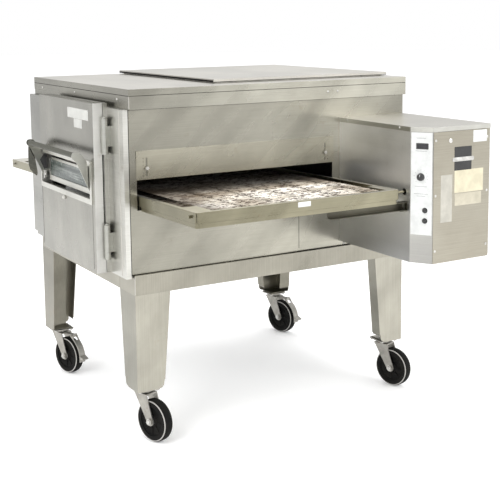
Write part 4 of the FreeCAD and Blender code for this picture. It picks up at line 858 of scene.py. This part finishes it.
def make_door_seams():
    """Dark joints beside the door's lower sheet, and a painted shadow along the gap between the hinges."""
    door_low, door_high = (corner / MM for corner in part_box("door_shell"))
    trim_low, trim_high = (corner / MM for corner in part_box("window_trim"))
    for name, x in (("door_seam_left", trim_low.x + 2), ("door_seam_right", trim_high.x - 2)):
        strip(name, (x - 0.8, door_low.y - PROUD, door_low.z + 12),
              (x + 0.8, door_low.y + 0.6, trim_low.z - 1), SOOT_AND_SHADOW, "door", 0.1 * MM)
    # A dark strip on the door's hinge edge: painted shadow in the gap to the frame.
    bottom, top = DOOR_GAP_SHADOW_SPAN
    strip("door_gap_shadow", (door_high.x - 0.6, door_high.y - 5, bottom),
          (door_high.x + PROUD, door_high.y - 1, top), SOOT_AND_SHADOW, "door", 0.1 * MM)


def make_door_plate():
    """Two pale blank plates on the door above the window."""
    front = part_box("door_shell")[0].y
    bm = bmesh.new()
    for width, height, x, z in DOOR_PLATES:
        place = facing((x * MM, front, z * MM), (0, -1, 0))
        plate_into(bm, width * MM, height * MM, 0.3 * MM, 1.5 * MM, place)
    finish_piece("door_plate", bm, DOOR_PLATE, "door")


def make_pivot_block():
    """The grey block and screw round the flap's left pivot, and a black plate inside the left gusset as a painted
    dark reflection.
    """
    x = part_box("handle_gussets")[0].x + 13 * MM
    far_x = x + 9 * MM
    bm = bmesh.new()
    box_into(bm, (x, PIVOT_BLOCK_Y[0], PIVOT_BLOCK_Z[0]), (far_x, PIVOT_BLOCK_Y[1], PIVOT_BLOCK_Z[1]),
             1.5 * MM, 2)
    finish_piece("pivot_block", bm, ZINC, "window_flap")
    bm = bmesh.new()
    screw_into(bm, (far_x, *PIVOT_SCREW), (1, 0, 0), 4.6 * MM, 2 * MM)
    finish_piece("pivot_screw", bm, SCREW, "window_flap")
    # A black plate inside the left gusset: painted reflection.
    bm = bmesh.new()
    near = [bm.verts.new((x + 2 * MM, y * MM, z * MM)) for y, z in REFLECTION_PAD_OUTLINE]
    far = [bm.verts.new((x, y * MM, z * MM)) for y, z in REFLECTION_PAD_OUTLINE]
    bm.faces.new(near)
    bm.faces.new(far[::-1])
    for i in range(len(REFLECTION_PAD_OUTLINE)):
        j = (i + 1) % len(REFLECTION_PAD_OUTLINE)
        bm.faces.new((near[i], far[i], far[j], near[j]))
    bmesh.ops.recalc_face_normals(bm, faces=bm.faces)
    finish_piece("gusset_reflection_pad", bm, BLACK, "window_flap")


# ---- control box -----------------------------------------------------------

# Places on the overlay are measured across and up from the knob's centre, in millimetres.
DISPLAY_PLACE = (4, 108)
BUTTON_PLACES = ((15, -118), (15, -155))
# Height above the knob and width of each printed bar.
PRINTED_BARS = ((136, 34), (91, 42), (-34, 44), (-60, 50), (-68, 30))
DIAL_RADIUS = 25 * MM
DIAL_TICKS = 11
DIAL_START, DIAL_STEP = 225, 27
KNOB_SEGMENTS = 72
KNOB_FLUTES = 18
# Level, radius and depth of flute of each ring of the knob, in millimetres.
KNOB_RINGS = ((1.2, 13.4, 0.3), (3, 13.2, 0.6), (13.5, 12.2, 0.7), (15.4, 11.2, 0.4), (16.3, 9.2, 0.0))
PLUG_PLACE = (431 * MM, 1060 * MM)
TOP_SCREW_X = (508, 825)
TOP_SCREW_Z = 1103 * MM


def chamfer_axes():
    """The knob's centre, with the directions along and out of the chamfered face."""
    joint = JOINTS["main_knob_turn"]
    out = Vector(joint["axis"]).normalized()
    along = Vector((-out.y, out.x, 0))
    if along.x < 0:
        along = -along
    return Vector(joint["pos_m"]), along, out


def make_control_face():
    """Display window, dial marks, button bezels and printed bars on the overlay."""
    knob, along, out = chamfer_axes()
    skin = knob - out * 0.5 * MM

    def at(side, up, lift=0.0):
        """A place on the overlay, measured from the knob's centre."""
        point = skin + along * side + Vector((0, 0, up)) + out * lift
        turn = Matrix((along, (0, 0, 1), out)).transposed().to_4x4()
        return Matrix.Translation(point) @ turn

    bm = bmesh.new()
    side, up = DISPLAY_PLACE
    plate_into(bm, 44 * MM, 21 * MM, 1.2 * MM, 1.5 * MM, at(side * MM, up * MM))
    finish_piece("display_bezel", bm, BLACK, "cabinet")
    bm = bmesh.new()
    plate_into(bm, 36 * MM, 13 * MM, 0.5 * MM, 0.8 * MM, at(side * MM, up * MM, 1.1 * MM))
    finish_piece("display_window", bm, DISPLAY, "cabinet")
    bm = bmesh.new()
    for step in range(DIAL_TICKS):
        angle = math.radians(DIAL_START - DIAL_STEP * step)
        spot = at(DIAL_RADIUS * math.cos(angle), DIAL_RADIUS * math.sin(angle))
        tick = spot @ Matrix.Rotation(angle, 4, "Z")
        plate_into(bm, 4 * MM, 0.9 * MM, 0.12 * MM, 0.4 * MM, tick, 2)
    finish_piece("dial_ticks", bm, INK, "cabinet")
    bm = bmesh.new()
    ring = [(9.6 * MM, 0), (9.6 * MM, 1.0 * MM), (9 * MM, 1.6 * MM), (7.4 * MM, 1.6 * MM), (7.4 * MM, 0)]
    for side, up in BUTTON_PLACES:
        lathe_into(bm, ring, at(side * MM, up * MM), 36)
    finish_piece("button_bezels", bm, BLACK, "cabinet")
    bm = bmesh.new()
    for up, width in PRINTED_BARS:
        plate_into(bm, width * MM, 1.1 * MM, 0.1 * MM, 0.5 * MM, at(0, up * MM), 2)
    finish_piece("overlay_bands", bm, INK, "cabinet")


def make_knob():
    """The main knob: skirt, fluted body and pointer line."""
    knob, along, out = chamfer_axes()
    turn = Matrix((along, (0, 0, 1), out)).transposed().to_4x4()
    place = Matrix.Translation(knob) @ turn
    bm = bmesh.new()
    lathe_into(bm, [(0, 0.2 * MM), (20.5 * MM, 0.2 * MM), (20.5 * MM, 0.9 * MM), (19.5 * MM, 1.3 * MM),
                    (14 * MM, 1.6 * MM)], place, 64)
    finish_piece("knob_skirt", bm, WHITE, "main_knob")
    bm = bmesh.new()
    rings = []
    for level, radius, flute in KNOB_RINGS:
        ring = []
        for i in range(KNOB_SEGMENTS):
            angle = 2 * math.pi * i / KNOB_SEGMENTS
            r = radius - flute * (0.5 + 0.5 * math.cos(angle * KNOB_FLUTES))
            x, y = r * MM * math.cos(angle), r * MM * math.sin(angle)
            ring.append(bm.verts.new(place @ Vector((x, y, level * MM))))
        rings.append(ring)
    for lower, upper in zip(rings, rings[1:]):
        for i in range(KNOB_SEGMENTS):
            j = (i + 1) % KNOB_SEGMENTS
            bm.faces.new((lower[i], lower[j], upper[j], upper[i]))
    bm.faces.new(rings[-1])
    body = finish_piece("knob_body", bm, BLACK, "main_knob")
    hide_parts("main_knob")
    bm = bmesh.new()
    pointer = place @ Matrix.Translation((0, 6 * MM, 16.2 * MM))
    plate_into(bm, 1.4 * MM, 9 * MM, 0.25 * MM, 0.6 * MM, pointer, 2)
    finish_piece("knob_pointer", bm, WHITE, "main_knob")


def make_side_plates():
    """Blank plates, stickers, a plug and screws on the control box's end."""
    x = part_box("control_side_panel")[1].x
    # Near and far Y, bottom and top Z, thickness and corner radius, in millimetres.
    for front, back, bottom, top, thickness, radius, name, material, slot in (
            (449, 528, 995, 1036, 0.8, 2, "dark_plate_upper", BLACK, "black_plastic"),
            (449, 528, 952, 988, 0.8, 2, "dark_plate_lower", BLACK, "black_plastic"),
            (440, 539, 984, 999, 1.4, 6, "pale_bar", SCREW, "screw_steel"),
            (450, 584, 872, 953, 0.5, 2, "cream_plate", CREAM, "overlay"),
            (452, 576, 826, 869, 0.4, 2, "buff_plate", BUFF, "overlay"),
            (535, 599, 1048, 1090, 0.3, 1.5, "white_sticker", WHITE, "overlay"),
            (388, 440, 772, 940, 0.2, 1.5, "grey_label", GREY_LABEL, "overlay")):
        bm = bmesh.new()
        place = facing((x, (front + back) / 2 * MM, (bottom + top) / 2 * MM), (1, 0, 0))
        plate_into(bm, (back - front) * MM, (top - bottom) * MM, thickness * MM, radius * MM, place)
        finish_piece(name, bm, material, "cabinet")
    bm = bmesh.new()
    place = facing((x, *PLUG_PLACE), (1, 0, 0))
    lathe_into(bm, [(8 * MM, 0), (8 * MM, 0.8 * MM), (6 * MM, 1.7 * MM), (0, 1.9 * MM)], place, 32)
    finish_piece("hole_plug", bm, SCREW, "cabinet")
    bm = bmesh.new()
    for z in (1064, 870, 673):
        for y in (364, 602):
            screw_into(bm, (x, y * MM, z * MM), (1, 0, 0), 4.6 * MM, 1.9 * MM, 0.3 + z * 0.7 + y)
    screws = finish_piece("side_panel_screws", bm, SCREW, "cabinet")
    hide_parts("control_screws")
    bm = bmesh.new()
    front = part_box("control_top")[0].y
    for across in TOP_SCREW_X:
        screw_into(bm, (across * MM, front, TOP_SCREW_Z), (0, -1, 0), 4 * MM, 1.9 * MM)
    finish_piece("control_top_screws", bm, SCREW, "cabinet")


# ---- back ------------------------------------------------------------------

MOTOR_RIBS = 36
TERMINAL_BOX_BOTTOM = 962 * MM


def make_blower_motor():
    """The blower's motor: ribbed frame, end bell and terminal box."""
    low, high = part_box("blower_motor")
    axis_z = JOINTS["blower_spin"]["pos_m"][2]
    centre = Vector(((low.x + high.x) / 2, low.y, axis_z))
    place = facing(centre, (0, 1, 0))
    depth = high.y - low.y
    bm = bmesh.new()
    shell = [(10.1 * MM, 0), (95 * MM, 0), (95 * MM, 12 * MM), (93 * MM, 14 * MM), (74 * MM, 14 * MM),
             (72 * MM, 20 * MM), (72 * MM, depth - 20 * MM), (70 * MM, depth - 8 * MM),
             (58 * MM, depth - 2 * MM), (20 * MM, depth), (0, depth)]
    lathe_into(bm, shell, place, 72)
    for step in range(MOTOR_RIBS):
        rib = place @ Matrix.Rotation(step * 2 * math.pi / MOTOR_RIBS, 4, "Z")
        box_into(bm, (71 * MM, -1.2 * MM, 22 * MM), (77.8 * MM, 1.2 * MM, depth - 22 * MM), 0.6 * MM, 1, rib)
    box_into(bm, (centre.x - 35 * MM, low.y + 25 * MM, TERMINAL_BOX_BOTTOM),
             (centre.x + 35 * MM, low.y + 85 * MM, high.z), 3 * MM, 3)
    motor = finish_piece("motor_shell", bm, PAINT, "cabinet")
    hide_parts("blower_motor")


# ---- stage -----------------------------------------------------------------

CAMERA_PLACE = (3.7057, -1.9851, 1.4935)
CAMERA_YAW = 0.5354
CAMERA_PITCH = 0.1288
CAMERA_ROLL = -0.0096
LENS = 74.73
SENSOR_WIDTH = 36
SHIFT = (-0.016, -0.1964)
FLOOR_RADIUS = 40
# Place, aim, size and power of each soft box.
LIGHTS = {
    "key_light": ((2.5, -4.5, 4.0), (0, 0, 0.8), 3.0, 150),
    "side_light": ((5.0, 2.5, 3.2), (0.3, 0, 0.8), 3.0, 110),
    "top_light": ((0, 0, 5.0), (0, 0, 1), 4.0, 130),
}


def make_camera():
    """A camera that looks towards -X and +Y, slightly down."""
    forward = Vector((-math.cos(CAMERA_YAW) * math.cos(CAMERA_PITCH),
                      math.sin(CAMERA_YAW) * math.cos(CAMERA_PITCH), -math.sin(CAMERA_PITCH)))
    level = forward.cross(Vector((0, 0, 1))).normalized()
    upright = level.cross(forward)
    right = math.cos(CAMERA_ROLL) * level + math.sin(CAMERA_ROLL) * upright
    up = -math.sin(CAMERA_ROLL) * level + math.cos(CAMERA_ROLL) * upright
    data = bpy.data.cameras.new("camera")
    data.lens = LENS
    data.sensor_width = SENSOR_WIDTH
    data.shift_x, data.shift_y = SHIFT
    camera = bpy.data.objects.new("camera", data)
    turn = Matrix((right, up, -forward)).transposed().to_4x4()
    camera.matrix_world = Matrix.Translation(CAMERA_PLACE) @ turn
    bpy.context.scene.collection.objects.link(camera)
    bpy.context.scene.camera = camera


def make_stage():
    """A pale floor that fades into an equally pale surround."""
    bm = bmesh.new()
    bmesh.ops.create_circle(bm, cap_ends=True, segments=64, radius=FLOOR_RADIUS)
    mesh = bpy.data.meshes.new("floor")
    bm.to_mesh(mesh)
    bm.free()
    mesh.materials.append(floor_material())
    floor = bpy.data.objects.new("floor", mesh)
    bpy.context.scene.collection.objects.link(floor)


def make_light(name, place, target, size, power):
    """A soft square light aimed at a point."""
    data = bpy.data.lights.new(name, "AREA")
    data.shape = "SQUARE"
    data.size = size
    data.energy = power
    light = bpy.data.objects.new(name, data)
    aim = (Vector(target) - Vector(place)).to_track_quat("-Z", "Y").to_matrix().to_4x4()
    light.matrix_world = Matrix.Translation(place) @ aim
    bpy.context.scene.collection.objects.link(light)


def make_lighting():
    """An even pale surround with three soft boxes."""
    world = bpy.data.worlds.new("studio")
    world.use_nodes = True
    background = world.node_tree.nodes["Background"]
    background.inputs["Color"].default_value = (1, 1, 1, 1)
    background.inputs["Strength"].default_value = 1.0
    bpy.context.scene.world = world
    bpy.context.scene.view_settings.view_transform = "Standard"
    for name, settings in LIGHTS.items():
        make_light(name, *settings)


def main():
    """Dress the CAD nodes, add the Blender pieces and set the stage."""
    dress_nodes()
    for corner in CORNERS:
        make_wheel(corner)
        make_caster_bolts(corner)
    make_belt()
    make_rail_marks()
    make_cabinet_fixings()
    make_seams()
    make_thumb_screws()
    make_grip()
    make_door_fixings()
    make_door_seams()
    make_door_plate()
    make_pivot_block()
    make_control_face()
    make_knob()
    make_side_plates()
    make_blower_motor()
    make_stage()
    make_lighting()
    make_camera()


main()
